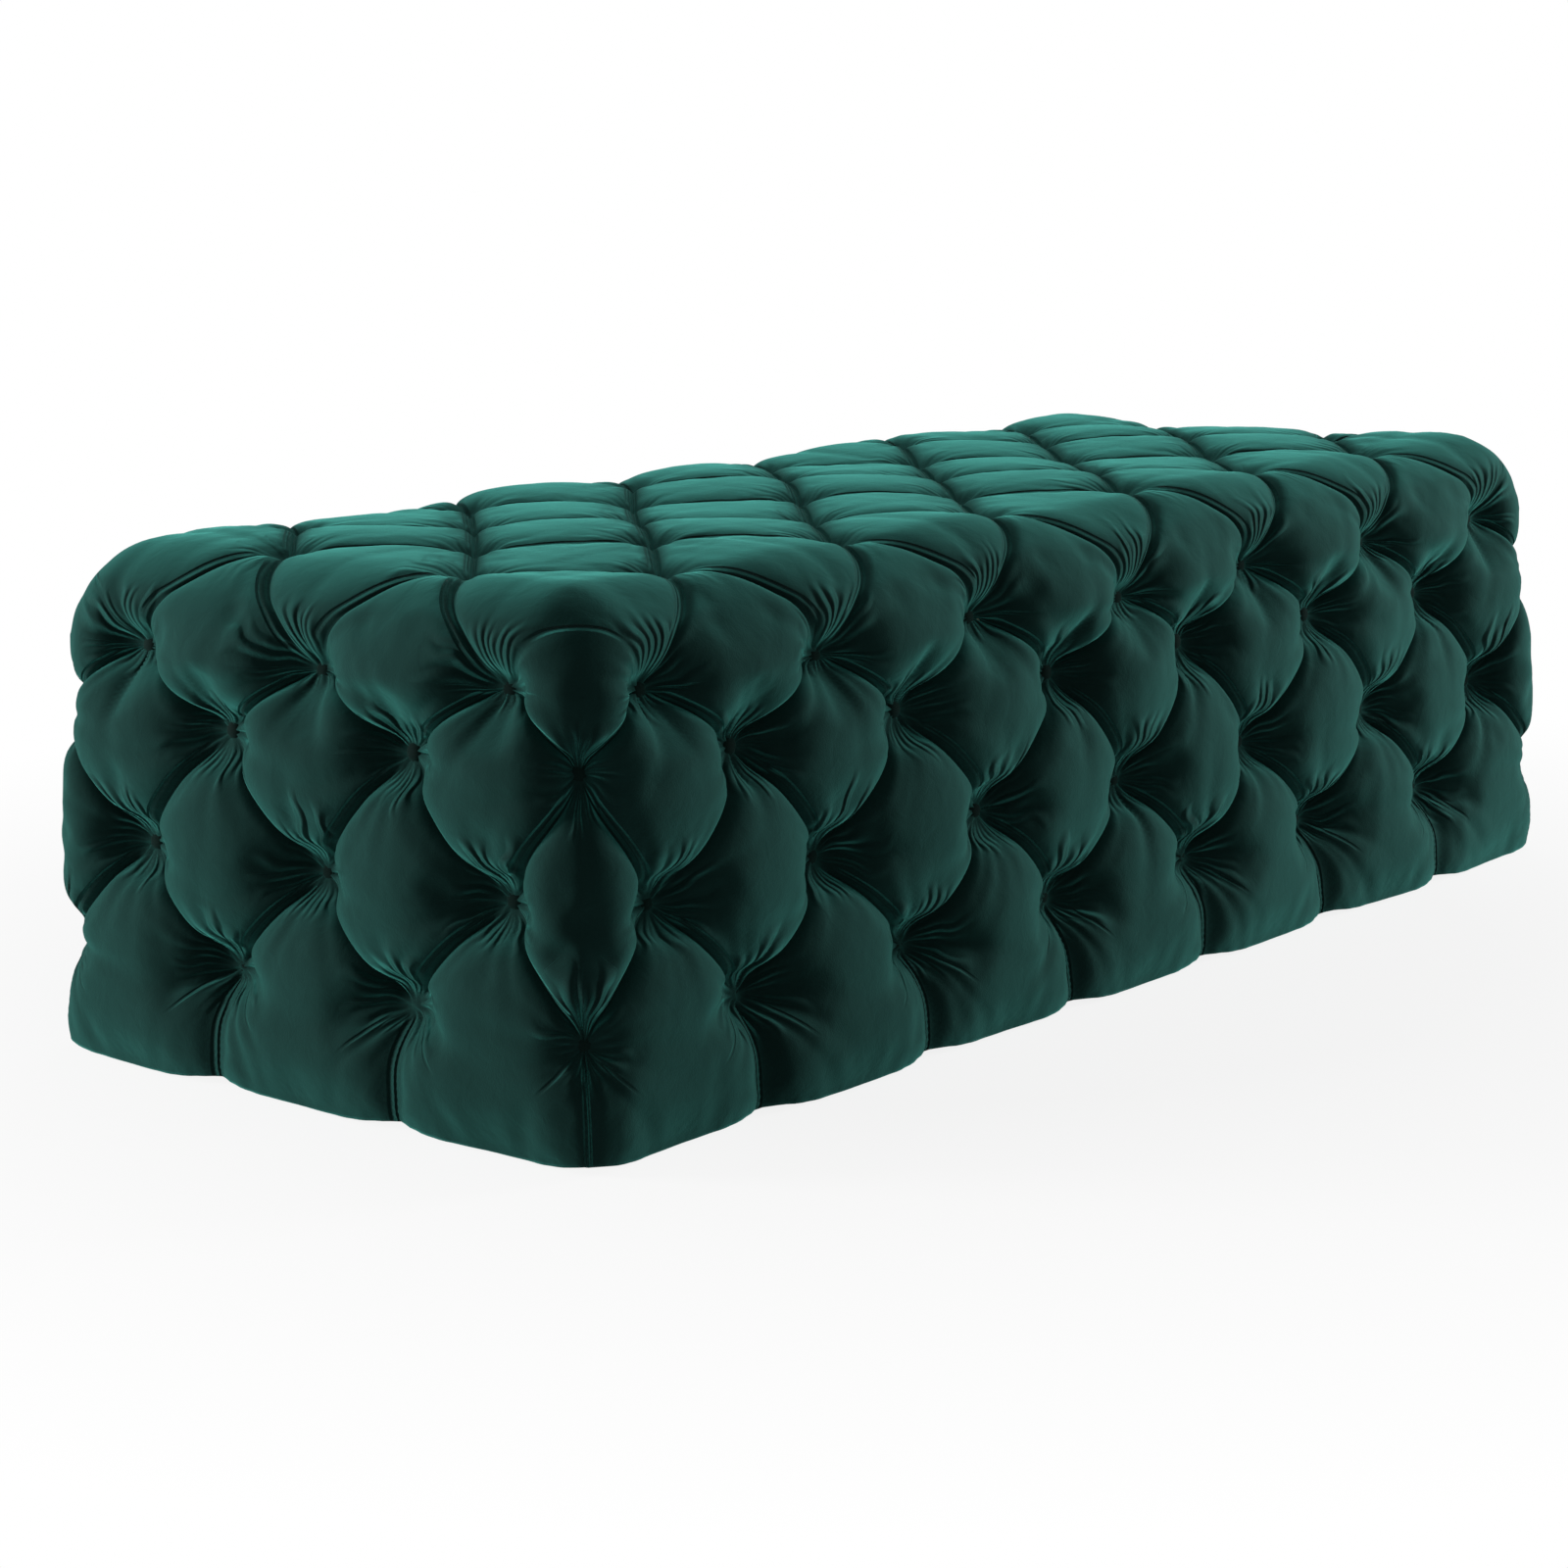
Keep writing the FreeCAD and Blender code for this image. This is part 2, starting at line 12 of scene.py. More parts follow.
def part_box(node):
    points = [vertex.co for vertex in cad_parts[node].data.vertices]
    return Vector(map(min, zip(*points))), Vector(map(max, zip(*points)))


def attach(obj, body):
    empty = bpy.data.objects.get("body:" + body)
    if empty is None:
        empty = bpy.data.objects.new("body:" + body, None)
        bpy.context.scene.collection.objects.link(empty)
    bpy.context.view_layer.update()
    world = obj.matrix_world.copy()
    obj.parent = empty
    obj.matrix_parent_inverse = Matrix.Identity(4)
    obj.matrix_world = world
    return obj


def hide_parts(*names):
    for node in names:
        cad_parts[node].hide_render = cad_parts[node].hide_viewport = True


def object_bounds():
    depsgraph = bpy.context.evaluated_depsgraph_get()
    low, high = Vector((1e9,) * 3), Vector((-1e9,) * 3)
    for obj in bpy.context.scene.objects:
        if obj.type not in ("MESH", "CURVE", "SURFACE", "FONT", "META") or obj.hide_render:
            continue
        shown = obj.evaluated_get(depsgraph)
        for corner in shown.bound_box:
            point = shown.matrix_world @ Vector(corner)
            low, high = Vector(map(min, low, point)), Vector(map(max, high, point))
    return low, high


bl_info = {
    "name": "Tufted velvet bench",
    "version": (1, 0, 0),
    "blender": (4, 5, 0),
    "location": "View3D > Sidebar > Bench",
    "description": "Velvet cover, buttons, glides and underside of a deep-tufted bench",
    "category": "Object",
}

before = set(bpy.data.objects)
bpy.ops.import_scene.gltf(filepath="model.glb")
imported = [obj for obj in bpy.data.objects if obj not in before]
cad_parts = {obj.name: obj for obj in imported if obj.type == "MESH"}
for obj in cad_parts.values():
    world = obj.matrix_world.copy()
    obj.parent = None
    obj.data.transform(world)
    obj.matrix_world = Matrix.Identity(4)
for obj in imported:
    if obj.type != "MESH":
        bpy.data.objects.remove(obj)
CAD_LOW, CAD_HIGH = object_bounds()

COVER_NODES = ("seat_cover", "front_cover", "rear_cover", "left_end_cover", "right_end_cover")
BUTTON_NODES = ("seat_buttons", "front_buttons", "rear_buttons", "left_end_buttons",
                "right_end_buttons", "corner_buttons")
LONG_PITCHES = 7
END_PITCHES = 3
SIDE_ROWS = 4
LOWEST_ROW = SIDE_ROWS - 1
CORNER_ROWS = (1, 3)
LATTICE = "Lattice"

# Share of the full tuft depth, and funnel width and height, by where a tuft sits.
SEAT_SHARE, SIDE_SHARE, CORNER_SHARE = 0.36, 1.0, 0.58
SEAT_FUNNEL, SIDE_FUNNEL, CORNER_FUNNEL = (0.62, 0.62), (1.2, 0.9), (0.9, 0.85)
# Gathers round a tuft: how many, their share of the full height and how far they reach.
GATHERS = ((12, 0.5, 0.012), (9, 0.8, 0.017), (7, 0.8, 0.024))
TUFT_BRIM = 0.024
TUFT_FIELD = 0.2
FILLING_LIFT = 0.003
HEM_NOTCH = 0.004
UNEVENNESS = 0.0022
# Rounding of the edges by height: tight at the hem and full at the top row of tufts.
ROUND_HEIGHTS = (0.0, 0.1, 0.2, 0.3, 0.37)
ROUND_BELOW_TOP = (0.010, 0.030, 0.052, 0.074)
TUFT_ARC = 0.085
PRESS_FRAMES = 16
PRESS_NEIGHBOURS = 10
PRESS_SPREAD = 0.010
HELD_BEND = 0.03
HELD_HEIGHT = 0.012
# Inset and height of each turn of the hem, and the outline of a covered button.
HEM_TURNS = ((0.006, 0.0015), (0.020, 0.0045), (0.036, 0.0070))
BUTTON_OUTLINE = ((0.0070, -0.0040), (0.0090, -0.0010), (0.0094, 0.0012),
                  (0.0078, 0.0038), (0.0042, 0.0056), (0.0, 0.0062))
BUTTON_SINK = 0.004
# The dust cloth's inset in its frame node, its turned edge, and its staples.
CLOTH_INSET = 0.006
CLOTH_TURN = 0.016
STAPLE_INSET = 0.007
STAPLE_SIZE = (0.0112, 0.0012, 0.0007)
STAPLE_HEIGHT = 0.0054
LONG_STAPLES = 24
END_STAPLES = 10
# Each lamp's name, place, target, side and power.
LAMPS = (("left", (-3.1, 3.3, 1.05), (-0.3, 0.0, 0.25), 1.3, 168.0),
         ("right", (4.3, -2.5, 1.2), (0.3, 0.0, 0.2), 1.5, 168.0),
         ("top", (2.0, 1.4, 3.2), (0.4, 0.0, 0.3), 1.8, 12.0))
CAMERA_PLACE = (-2.7083, -2.1761, 0.8438)
CAMERA_AZIMUTH, CAMERA_ELEVATION, CAMERA_ROLL = 0.7017, 0.1953, -0.0141
CAMERA_LENS = 82.018
EVEN = (1.0, 1.0, 1.0)
WHITE = (1.0, 1.0, 1.0, 1.0)
COLOUR = {"subtype": "COLOR", "size": 3, "min": 0.0, "max": 1.0}


class BenchSizes(bpy.types.PropertyGroup):
    """Sizes of the cover and its tufts."""

    pitch: bpy.props.FloatProperty(
        name="Tuft pitch", description="Distance between neighbouring tufts of one row",
        default=0.218, unit="LENGTH")
    length: bpy.props.FloatProperty(
        name="Length", description="Crown to crown along the bench",
        default=CAD_HIGH.x - CAD_LOW.x, unit="LENGTH")
    width: bpy.props.FloatProperty(
        name="Width", description="Crown to crown across the bench",
        default=CAD_HIGH.y - CAD_LOW.y, unit="LENGTH")
    height: bpy.props.FloatProperty(
        name="Height", description="Floor to the crown of the seat",
        default=CAD_HIGH.z + 0.008, unit="LENGTH")
    row_heights: bpy.props.FloatVectorProperty(
        name="Side rows", description="Heights of the side tuft rows and of the hem, from the top down",
        size=5, default=(0.376, 0.309, 0.197, 0.100, 0.004), unit="LENGTH")
    edge_round: bpy.props.FloatProperty(
        name="Edge rounding", description="Rounding of the stuffed box along its edges",
        default=0.088, unit="LENGTH")
    tuft_depth: bpy.props.FloatProperty(
        name="Tuft depth", description="Depth of the funnel that each tuft draws into the cover",
        default=0.037, unit="LENGTH")
    tuft_reach: bpy.props.FloatProperty(
        name="Tuft reach", description="How far from a tuft its wide funnel falls to a third of its depth",
        default=0.060, unit="LENGTH")
    tuft_throat: bpy.props.FloatProperty(
        name="Tuft throat",
        description="How far from a tuft its steep throat falls to a third of its depth",
        default=0.034, unit="LENGTH")
    pleat_depth: bpy.props.FloatProperty(
        name="Pleat depth", description="Depth of a pleat under the puffs beside it",
        default=0.013, unit="LENGTH")
    pleat_width: bpy.props.FloatProperty(
        name="Pleat width", description="How far from a pleat the cloth has risen by two thirds",
        default=0.0050, unit="LENGTH")
    crown_rise: bpy.props.FloatProperty(
        name="Crown rise", description="Gentle rise from the pleats to the crown of a puff",
        default=0.004, unit="LENGTH")
    gather: bpy.props.FloatProperty(
        name="Gathers", description="Height of the gathers that fan out of a tuft",
        default=0.0035, unit="LENGTH")
    stuffing_pressure: bpy.props.FloatProperty(
        name="Stuffing pressure", description="Pressure of the stuffing on the cover", default=4.0)
    stuffing_limit: bpy.props.FloatProperty(
        name="Stuffing limit", description="Furthest that the stuffing may press the cover out",
        default=0.006, unit="LENGTH")
    cells: bpy.props.IntProperty(
        name="Mesh cells", description="Mesh cells across a puff, from pleat to pleat",
        default=42, min=8, max=48)
    trial_cells: bpy.props.IntProperty(
        name="Trial cells", description="Mesh cells across a puff while the stuffing is pressed in",
        default=14, min=6, max=24)


class BenchFinish(bpy.types.PropertyGroup):
    """Colours of the pieces."""

    velvet: bpy.props.FloatVectorProperty(
        name="Velvet", description="Depth of the pile",
        default=(0.0024, 0.0100, 0.0088), **COLOUR)
    velvet_sheen: bpy.props.FloatVectorProperty(
        name="Velvet sheen", description="Light caught by the tips of the pile",
        default=(0.105, 0.62, 0.53), **COLOUR)
    # Painted shade: the buttons' velvet is darker than the cover's velvet, so the buttons read as the
    # shaded bottoms of the pits.
    button_velvet: bpy.props.FloatVectorProperty(
        name="Button velvet", description="Pile drawn flat over the buttons",
        default=(0.0010, 0.0070, 0.0055), **COLOUR)
    softwood: bpy.props.FloatVectorProperty(
        name="Softwood", description="Planed boards and posts",
        default=(0.66, 0.46, 0.25), **COLOUR)
    plywood: bpy.props.FloatVectorProperty(
        name="Plywood", description="Slats under the seat",
        default=(0.70, 0.53, 0.33), **COLOUR)
    foam: bpy.props.FloatVectorProperty(
        name="Foam", description="Foam behind the cover",
        default=(0.82, 0.76, 0.55), **COLOUR)
    twine: bpy.props.FloatVectorProperty(
        name="Twine", description="Ties that hold the buttons",
        default=(0.75, 0.70, 0.58), **COLOUR)
    dust_cloth: bpy.props.FloatVectorProperty(
        name="Dust cloth", description="Bonded cloth under the frame",
        default=(0.014, 0.014, 0.015), **COLOUR)
    glide: bpy.props.FloatVectorProperty(
        name="Glide", description="Moulded glides",
        default=(0.012, 0.012, 0.012), **COLOUR)


def sizes():
    """The scene's sizes."""
    return bpy.context.scene.bench_sizes


def finish():
    """The scene's colours."""
    return bpy.context.scene.bench_finish


# Lattice of the cover: a counts half pitches along the bench and b across it. The sides carry
# the lattice on past its rim, one unit for each row of tufts down to the hem.

def rows_down():
    """Heights at the rim of the lattice and at each row below it."""
    return np.array(sizes().row_heights)


def rim_run():
    """Distance from a crown face to the first tuft line of the seat."""
    s = sizes()
    return (s.length - (LONG_PITCHES - 1) * s.pitch) / 2


def half_side(count):
    """Half the length of a side that has so many pitches."""
    s = sizes()
    return count * s.pitch / 2 + (s.length - LONG_PITCHES * s.pitch) / 2


def over_edge(t):
    """Inset and height on the way from the top row of a side over the edge to the seat."""
    top = sizes().height
    start = rows_down()[0]
    drop = top - start
    run = rim_run()
    distance = t * (drop + run)
    inset = np.clip(distance - drop, 0.0, run)
    height = np.minimum(start + distance, top)
    return inset, height


def along_axis(a, count):
    """Place along an axis, edge inset and height for lattice values from rim to rim."""
    s = sizes()
    half = half_side(count)
    near = np.clip(a, 0.0, 1.0)
    far = np.clip(2 * count - a, 0.0, 1.0)
    inset_near, height_near = over_edge(near)
    inset_far, height_far = over_edge(far)
    place = (a - count) * s.pitch / 2
    place = np.where(a < 1, -half + inset_near, place)
    place = np.where(a > 2 * count - 1, half - inset_far, place)
    height = np.minimum(height_near, height_far)
    side = np.where(a < count, -1.0, 1.0)
    share = np.minimum(near, far)
    return place, height, side, share, half


def seat_points(a, b):
    """Points of the sharp box under the seat's part of the lattice."""
    run = rim_run()
    low = rows_down()[0]
    x, height_x, side_x, share_x, half_x = along_axis(a, LONG_PITCHES)
    y, height_y, side_y, share_y, half_y = along_axis(b, END_PITCHES)
    z = np.minimum(height_x, height_y)
    # Where two rims meet, the patch is blended from its four border lines.
    corner = (share_x < 1) & (share_y < 1)
    s, t = share_x, share_y
    inset_s, height_s = over_edge(s)
    inset_t, height_t = over_edge(t)
    top = sizes().height
    blend_x = ((1 - t) * run * s + t * inset_s + s * run
               - ((1 - t) * s * run + s * t * run))
    blend_y = (t * run + (1 - s) * run * t + s * inset_t
               - ((1 - s) * t * run + s * t * run))
    blend_z = ((1 - t) * low + t * height_s + (1 - s) * low + s * height_t
               - ((1 - s) * (1 - t) * low + s * (1 - t) * low + (1 - s) * t * low + s * t * top))
    x = np.where(corner, side_x * (half_x - blend_x), x)
    y = np.where(corner, side_y * (half_y - blend_y), y)
    z = np.where(corner, blend_z, z)
    return np.stack([x, y, z], axis=1)


def side_points(a, down, count):
    """Points of a side by lattice place along it and rows down, with the side facing -Y."""
    s = sizes()
    half = half_side(count)
    depth = half_side(END_PITCHES if count == LONG_PITCHES else LONG_PITCHES)
    x = (a - count) * s.pitch / 2
    x = np.where(a < 1, -half + a * rim_run(), x)
    x = np.where(a > 2 * count - 1, half - (2 * count - a) * rim_run(), x)
    z = np.interp(down, np.arange(SIDE_ROWS + 1), rows_down())
    return np.stack([x, np.full_like(x, -depth), z], axis=1)


def box_core(points, r):
    """The nearest points of the box that lies r inside the sharp one."""
    s = sizes()
    core = points.copy()
    core[:, 0] = np.clip(core[:, 0], r - s.length / 2, s.length / 2 - r)
    core[:, 1] = np.clip(core[:, 1], r - s.width / 2, s.width / 2 - r)
    core[:, 2] = np.minimum(core[:, 2], s.height - r)
    out = points - core
    out /= np.maximum(np.linalg.norm(out, axis=1, keepdims=True), 1e-9)
    return core, out


def rounded(points):
    """The points brought onto the rounded box, with the directions that face out of it."""
    s = sizes()
    r = np.interp(points[:, 2], ROUND_HEIGHTS, (*ROUND_BELOW_TOP, s.edge_round))
    core, out = box_core(points, r)
    flat = core + out * r[:, None]
    # Tufts are drawn in along wider arcs than the edges, so that the cloth never crosses itself.
    return flat, box_core(points, np.maximum(r, TUFT_ARC))[1]


def pleat_distance(a, b):
    """Distances to the nearest pleats of the two directions, and their spacing."""
    across = sizes().pitch / math.sqrt(2)
    u = (a + b + 1) / 2
    v = (a - b + 1) / 2
    return np.abs(u - np.round(u)) * across, np.abs(v - np.round(v)) * across, across


def eased(t):
    """From nought to one with a soft start and end."""
    t = np.clip(t, 0.0, 1.0)
    return t * t * (3 - 2 * t)


def puff_depth(a, b, merged=0.0):
    """How far the pleats and the crowns' roundness bring the cover under its crowns."""
    s = sizes()
    to_u, to_v, across = pleat_distance(a, b)
    near_u = np.exp(-to_u / s.pleat_width)
    near_v = np.exp(-to_v / s.pleat_width)
    round_u = np.sin(np.pi * to_u / across)
    round_v = np.sin(np.pi * to_v / across)
    # The corner puff has no pleat across it.
    near_u = near_u * (1 - merged * (1 - near_v))
    round_u = round_u + merged * (1 - round_u) * round_v
    # The pleats run out at the brim of each tuft.
    brim = 1 - np.exp(-(np.hypot(to_u, to_v) / TUFT_BRIM) ** 3)
    crease = (near_u + near_v - near_u * near_v) * brim
    return s.pleat_depth * crease + s.crown_rise * (1 - (round_u * round_v) ** 0.7)


def hem_depth(a, b):
    """The same below the lowest tufts, where straight pleats drop to the hem."""
    s = sizes()
    down = np.clip(-LOWEST_ROW - b, 0.0, 1.0)
    start = puff_depth(a, np.maximum(b, -LOWEST_ROW))
    to_pleat = np.abs(a / 2 - np.round(a / 2)) * s.pitch
    fold = 0.006 * np.exp(-(to_pleat / 0.014) ** 2) + 0.006 * np.exp(-(to_pleat / 0.035) ** 2)
    fade = eased(down / 0.4)
    return start * (1 - fade) + (fold + 0.004 * down ** 3) * fade


def all_tufts():
    """Every tuft once: its place on the sharp box, the way it faces and its funnel's proportions."""
    s = sizes()
    rows = rows_down()
    tufts = []
    for a in range(1, 2 * LONG_PITCHES):
        for b in range(1, 2 * END_PITCHES):
            if (a + b) % 2:
                place = ((a - LONG_PITCHES) * s.pitch / 2, (b - END_PITCHES) * s.pitch / 2, s.height)
                tufts.append((place, (0.0, 0.0, 1.0), SEAT_FUNNEL))
    half = (s.length / 2, s.width / 2)
    for axis, count in ((0, LONG_PITCHES), (1, END_PITCHES)):
        for sign in (-1, 1):
            for row in range(SIDE_ROWS):
                for a in range(1, 2 * count):
                    if (a + row) % 2:
                        place = [0.0, 0.0, rows[row]]
                        place[axis] = (a - count) * s.pitch / 2
                        place[1 - axis] = sign * half[1 - axis]
                        facing = [0.0, 0.0, 0.0]
                        facing[1 - axis] = float(sign)
                        tufts.append((tuple(place), tuple(facing), SIDE_FUNNEL))
    for sign_x in (-1, 1):
        for sign_y in (-1, 1):
            for row in CORNER_ROWS:
                place = (sign_x * half[0], sign_y * half[1], rows[row])
                facing = (sign_x * math.sqrt(0.5), sign_y * math.sqrt(0.5), 0.0)
                tufts.append((place, facing, CORNER_FUNNEL))
    return tufts


def tuft_strength(facing):
    """Share of the full depth that a tuft has: less on the seat and where two sides meet."""
    if facing[2] > 0.5:
        return SEAT_SHARE
    return CORNER_SHARE if abs(facing[0] * facing[1]) > 0.1 else SIDE_SHARE


def tuft_fields(points, gather):
    """Depth of the funnels, and of the fine folds of spare cloth that fan out of them."""
    s = sizes()
    depth = np.zeros(len(points))
    for place, facing, proportion in all_tufts():
        near = np.flatnonzero(np.abs(points - np.array(place)).max(axis=1) < TUFT_FIELD)
        if not len(near):
            continue
        facing = np.array(facing)
        up = np.array((0.0, 1.0, 0.0)) if facing[2] > 0.5 else np.array((0.0, 0.0, 1.0))
        along = np.cross(up, facing)
        offset = points[near] - np.array(place)
        x, y, n = offset @ along, offset @ up, offset @ facing
        strength = tuft_strength(facing)
        folds = gather * strength
        r = np.sqrt((x / proportion[0]) ** 2 + (y / proportion[1]) ** 2 + n ** 2)
        throat = 0.66 * np.exp(-(r / s.tuft_throat) ** 2.6)
        throat += 0.34 * np.exp(-(r / s.tuft_reach) ** 1.6)
        # Tufts are shallower close to the hem.
        hem = np.clip(points[near, 2] / 0.09, 0.15, 1.0)
        depth[near] += strength * s.tuft_depth * throat * hem
        key = place[0] * 31.7 + place[1] * 57.3 + place[2] * 83.9
        angle = np.arctan2(y, x)
        span = np.hypot(x, y)
        for count, share, reach in GATHERS:
            length = reach * (1 + 0.4 * np.sin(2 * angle + key * (3.7 + count)))
            turn = math.sin(key * (12.9 + count)) * math.pi
            crease = np.exp(-(np.sin(count * angle / 2 + turn + 6 * span) / 0.42) ** 2)
            depth[near] += folds * share * crease * (span / length) * np.exp(1 - span / length)
    return depth


def cover_sheet(kind, a, b, gather):
    """Finished points of one part of the lattice: the seat or a side."""
    s = sizes()
    if kind == "seat":
        # Each corner is folded onto the first one, so that its merged puff keeps one formula.
        near_a = np.minimum(a, 2 * LONG_PITCHES - a)
        near_b = np.minimum(b, 2 * END_PITCHES - b)
        corner = (near_a < 1) & (near_b < 1)
        merged = np.where(corner, eased(np.minimum(near_a, near_b) / 0.15), 0.0)
        depth = puff_depth(np.where(corner, near_a, a), np.where(corner, near_b, b), merged)
        points = seat_points(a, b)
        # The level part of the seat is stretched flatter than the rims.
        depth *= 1 - 0.4 * eased((points[:, 2] - s.height + 0.06) / 0.06)
    else:
        turn = {"front": 0, "right": 1, "rear": 2, "left": 3}[kind]
        count = LONG_PITCHES if turn % 2 == 0 else END_PITCHES
        depth = np.where(b < LOWEST_ROW, puff_depth(a, -b), hem_depth(a, -b))
        points = side_points(a, b, count)
        notch = np.cos(np.pi * a / 2) ** 8
        points[:, 2] += HEM_NOTCH * notch * np.clip(b - LOWEST_ROW, 0, 1) ** 3
        angle = turn * math.pi / 2
        spin = np.array([[math.cos(angle), math.sin(angle), 0],
                         [-math.sin(angle), math.cos(angle), 0], [0, 0, 1]])
        points = points @ spin
    depth += tuft_fields(points, gather)
    flat, out = rounded(points)
    return settled(flat - out * (depth - FILLING_LIFT)[:, None])


def settled(points):
    """Slight unevenness from the stuffing, the same for the cover and its buttons."""
    x, y, z = points.T
    return points + UNEVENNESS * np.stack([
        np.sin(11.3 * x + 7.1 * y + 17.0 * z + 0.4) + np.sin(23.0 * y - 9.0 * x + 5.0 * z),
        np.sin(9.7 * y - 13.9 * x + 15.0 * z + 2.1) + np.sin(19.0 * x + 12.0 * z + 0.8),
        (np.sin(12.9 * x + 10.3 * y + 1.1) + np.sin(21.0 * x - 8.0 * y + 3.0)) * np.clip(z / 0.2, 0, 1),
    ], axis=1)


def crowded(t):
    """Grid places drawn together near the pleats, where the cloth bends most."""
    return t - 0.55 * np.sin(2 * np.pi * t) / (2 * np.pi)


def sheet_mesh(kind, n, gather):
    """A grid along the pleats, trimmed to one part of the lattice and laid over it."""
    wide = 2 * (LONG_PITCHES if kind in ("seat", "front", "rear") else END_PITCHES)
    low, high = (0, 2 * END_PITCHES) if kind == "seat" else (-SIDE_ROWS, 0)
    # Pleats run along u and v; the lattice is a = u + v - 1 and b = u - v.
    start_u, start_v = math.floor((low + 1) / 2), math.floor((1 - high) / 2)
    count_u = math.ceil((wide + high + 1) / 2) - start_u
    count_v = math.ceil((wide - low + 1) / 2) - start_v
    bm = bmesh.new()
    bmesh.ops.create_grid(bm, x_segments=count_u * n, y_segments=count_v * n, size=0.5)
    mesh = bpy.data.meshes.new("cover_" + kind)
    bm.to_mesh(mesh)
    flat = vertex_array(mesh)
    u = crowded(start_u + np.round((flat[:, 0] + 0.5) * count_u * n) / n)
    v = crowded(start_v + np.round((flat[:, 1] + 0.5) * count_v * n) / n)
    mesh.vertices.foreach_set("co", np.stack([u + v - 1, u - v, np.zeros_like(u)], axis=1).ravel())
    bm.clear()
    bm.from_mesh(mesh)
    bpy.data.meshes.remove(mesh)
    far = [vert for vert in bm.verts
           if not (-0.4 < vert.co.x < wide + 0.4 and low - 0.4 < vert.co.y < high + 0.4)]
    bmesh.ops.delete(bm, geom=far, context="VERTS")
    for place, face in (((0, 0, 0), (-1, 0, 0)), ((wide, 0, 0), (1, 0, 0)),
                        ((0, low, 0), (0, -1, 0)), ((0, high, 0), (0, 1, 0))):
        bmesh.ops.bisect_plane(bm, geom=bm.verts[:] + bm.edges[:] + bm.faces[:], dist=1e-4,
                               plane_co=place, plane_no=face, clear_outer=True)
    mesh = mesh_from(bm, "cover_" + kind)
    a, across, _ = np.round(vertex_array(mesh), 5).T
    lattice = np.stack([(a + across + 1) / 2, (a - across + 1) / 2], axis=1)
    corner = np.empty(len(mesh.loops), dtype=np.int32)
    mesh.loops.foreach_get("vertex_index", corner)
    layer = mesh.uv_layers.new(name=LATTICE)
    layer.uv.foreach_set("vector", lattice[corner].astype(np.float32).ravel())
    b = across if kind == "seat" else -across
    mesh.vertices.foreach_set("co", cover_sheet(kind, a, b, gather).ravel())
    return mesh


def cover_mesh(name, n, gather):
    """The five sheets joined along their rims, open at the hem."""
    bm = bmesh.new()
    for kind in ("seat", "front", "right", "rear", "left"):
        mesh = sheet_mesh(kind, n, gather)
        bm.from_mesh(mesh)
        bpy.data.meshes.remove(mesh)
    bmesh.ops.remove_doubles(bm, verts=bm.verts[:], dist=0.0006)
    bmesh.ops.recalc_face_normals(bm, faces=bm.faces[:])
    return mesh_from(bm, name, smooth=True)


def mesh_from(bm, name, smooth=False):
    """A new mesh from a finished bmesh, which is freed."""
    if smooth:
        for face in bm.faces:
            face.smooth = True
    mesh = bpy.data.meshes.new(name)
    bm.to_mesh(mesh)
    bm.free()
    return mesh


def vertex_array(mesh, what="co"):
    """Places or directions of a mesh's vertices, one row each."""
    flat = np.empty(len(mesh.vertices) * 3)
    mesh.vertices.foreach_get(what, flat)
    return flat.reshape(-1, 3)


def stuffed_shift():
    """Let the stuffing press on a coarser copy of the cover, held at its tufts and pleats."""
    s = sizes()
    mesh = cover_mesh("stuffing_trial", s.trial_cells, 0.0)
    trial = bpy.data.objects.new("stuffing_trial", mesh)
    scene = bpy.context.scene
    scene.collection.objects.link(trial)
    rest = vertex_array(mesh)
    held = trial.vertex_groups.new(name="held")
    for index, weight in enumerate(pleat_hold(mesh)):
        held.add([index], float(weight), "REPLACE")
    cloth = trial.modifiers.new("cloth", "CLOTH")
    settings = cloth.settings
    settings.quality = 6
    settings.mass = 0.25
    settings.tension_stiffness = 12.0
    settings.compression_stiffness = 6.0
    settings.shear_stiffness = 4.0
    settings.bending_stiffness = 0.8
    settings.air_damping = 2.0
    settings.use_pressure = True
    settings.uniform_pressure_force = s.stuffing_pressure
    settings.shrink_min = -0.03
    settings.vertex_group_mass = "held"
    settings.effector_weights.gravity = 0.0
    cloth.collision_settings.use_collision = False
    cloth.collision_settings.use_self_collision = False
    cloth.point_cache.frame_start = 1
    cloth.point_cache.frame_end = PRESS_FRAMES
    for number in range(1, PRESS_FRAMES + 1):
        scene.frame_set(number)
    pressed = trial.evaluated_get(bpy.context.evaluated_depsgraph_get())
    shift = vertex_array(pressed.data) - rest
    scene.frame_set(1)
    bpy.data.objects.remove(trial)
    bpy.data.meshes.remove(mesh)
    length = np.linalg.norm(shift, axis=1, keepdims=True)
    shift *= np.minimum(1.0, s.stuffing_limit / np.maximum(length, 1e-9))
    # The taut level part of the seat gives way least.
    shift *= 1 - 0.7 * eased((rest[:, 2:] - s.height + 0.05) / 0.03)
    return rest, shift


def pleat_hold(mesh):
    """One at the points of the trial cover that are held, in tufts, pleats and hem, else nought."""
    points = vertex_array(mesh)
    mean = np.zeros(len(points))
    count = np.zeros(len(points))
    facing = vertex_array(mesh, "normal")
    ends = np.empty(len(mesh.edges) * 2, dtype=np.int64)
    mesh.edges.foreach_get("vertices", ends)
    first, second = ends.reshape(-1, 2).T
    bend = 1 - np.einsum("ij,ij->i", facing[first], facing[second])
    for end in (first, second):
        np.add.at(mean, end, bend)
        np.add.at(count, end, 1)
    mean /= np.maximum(count, 1)
    return np.where((mean > HELD_BEND) | (points[:, 2] < HELD_HEIGHT), 1.0, 0.0)


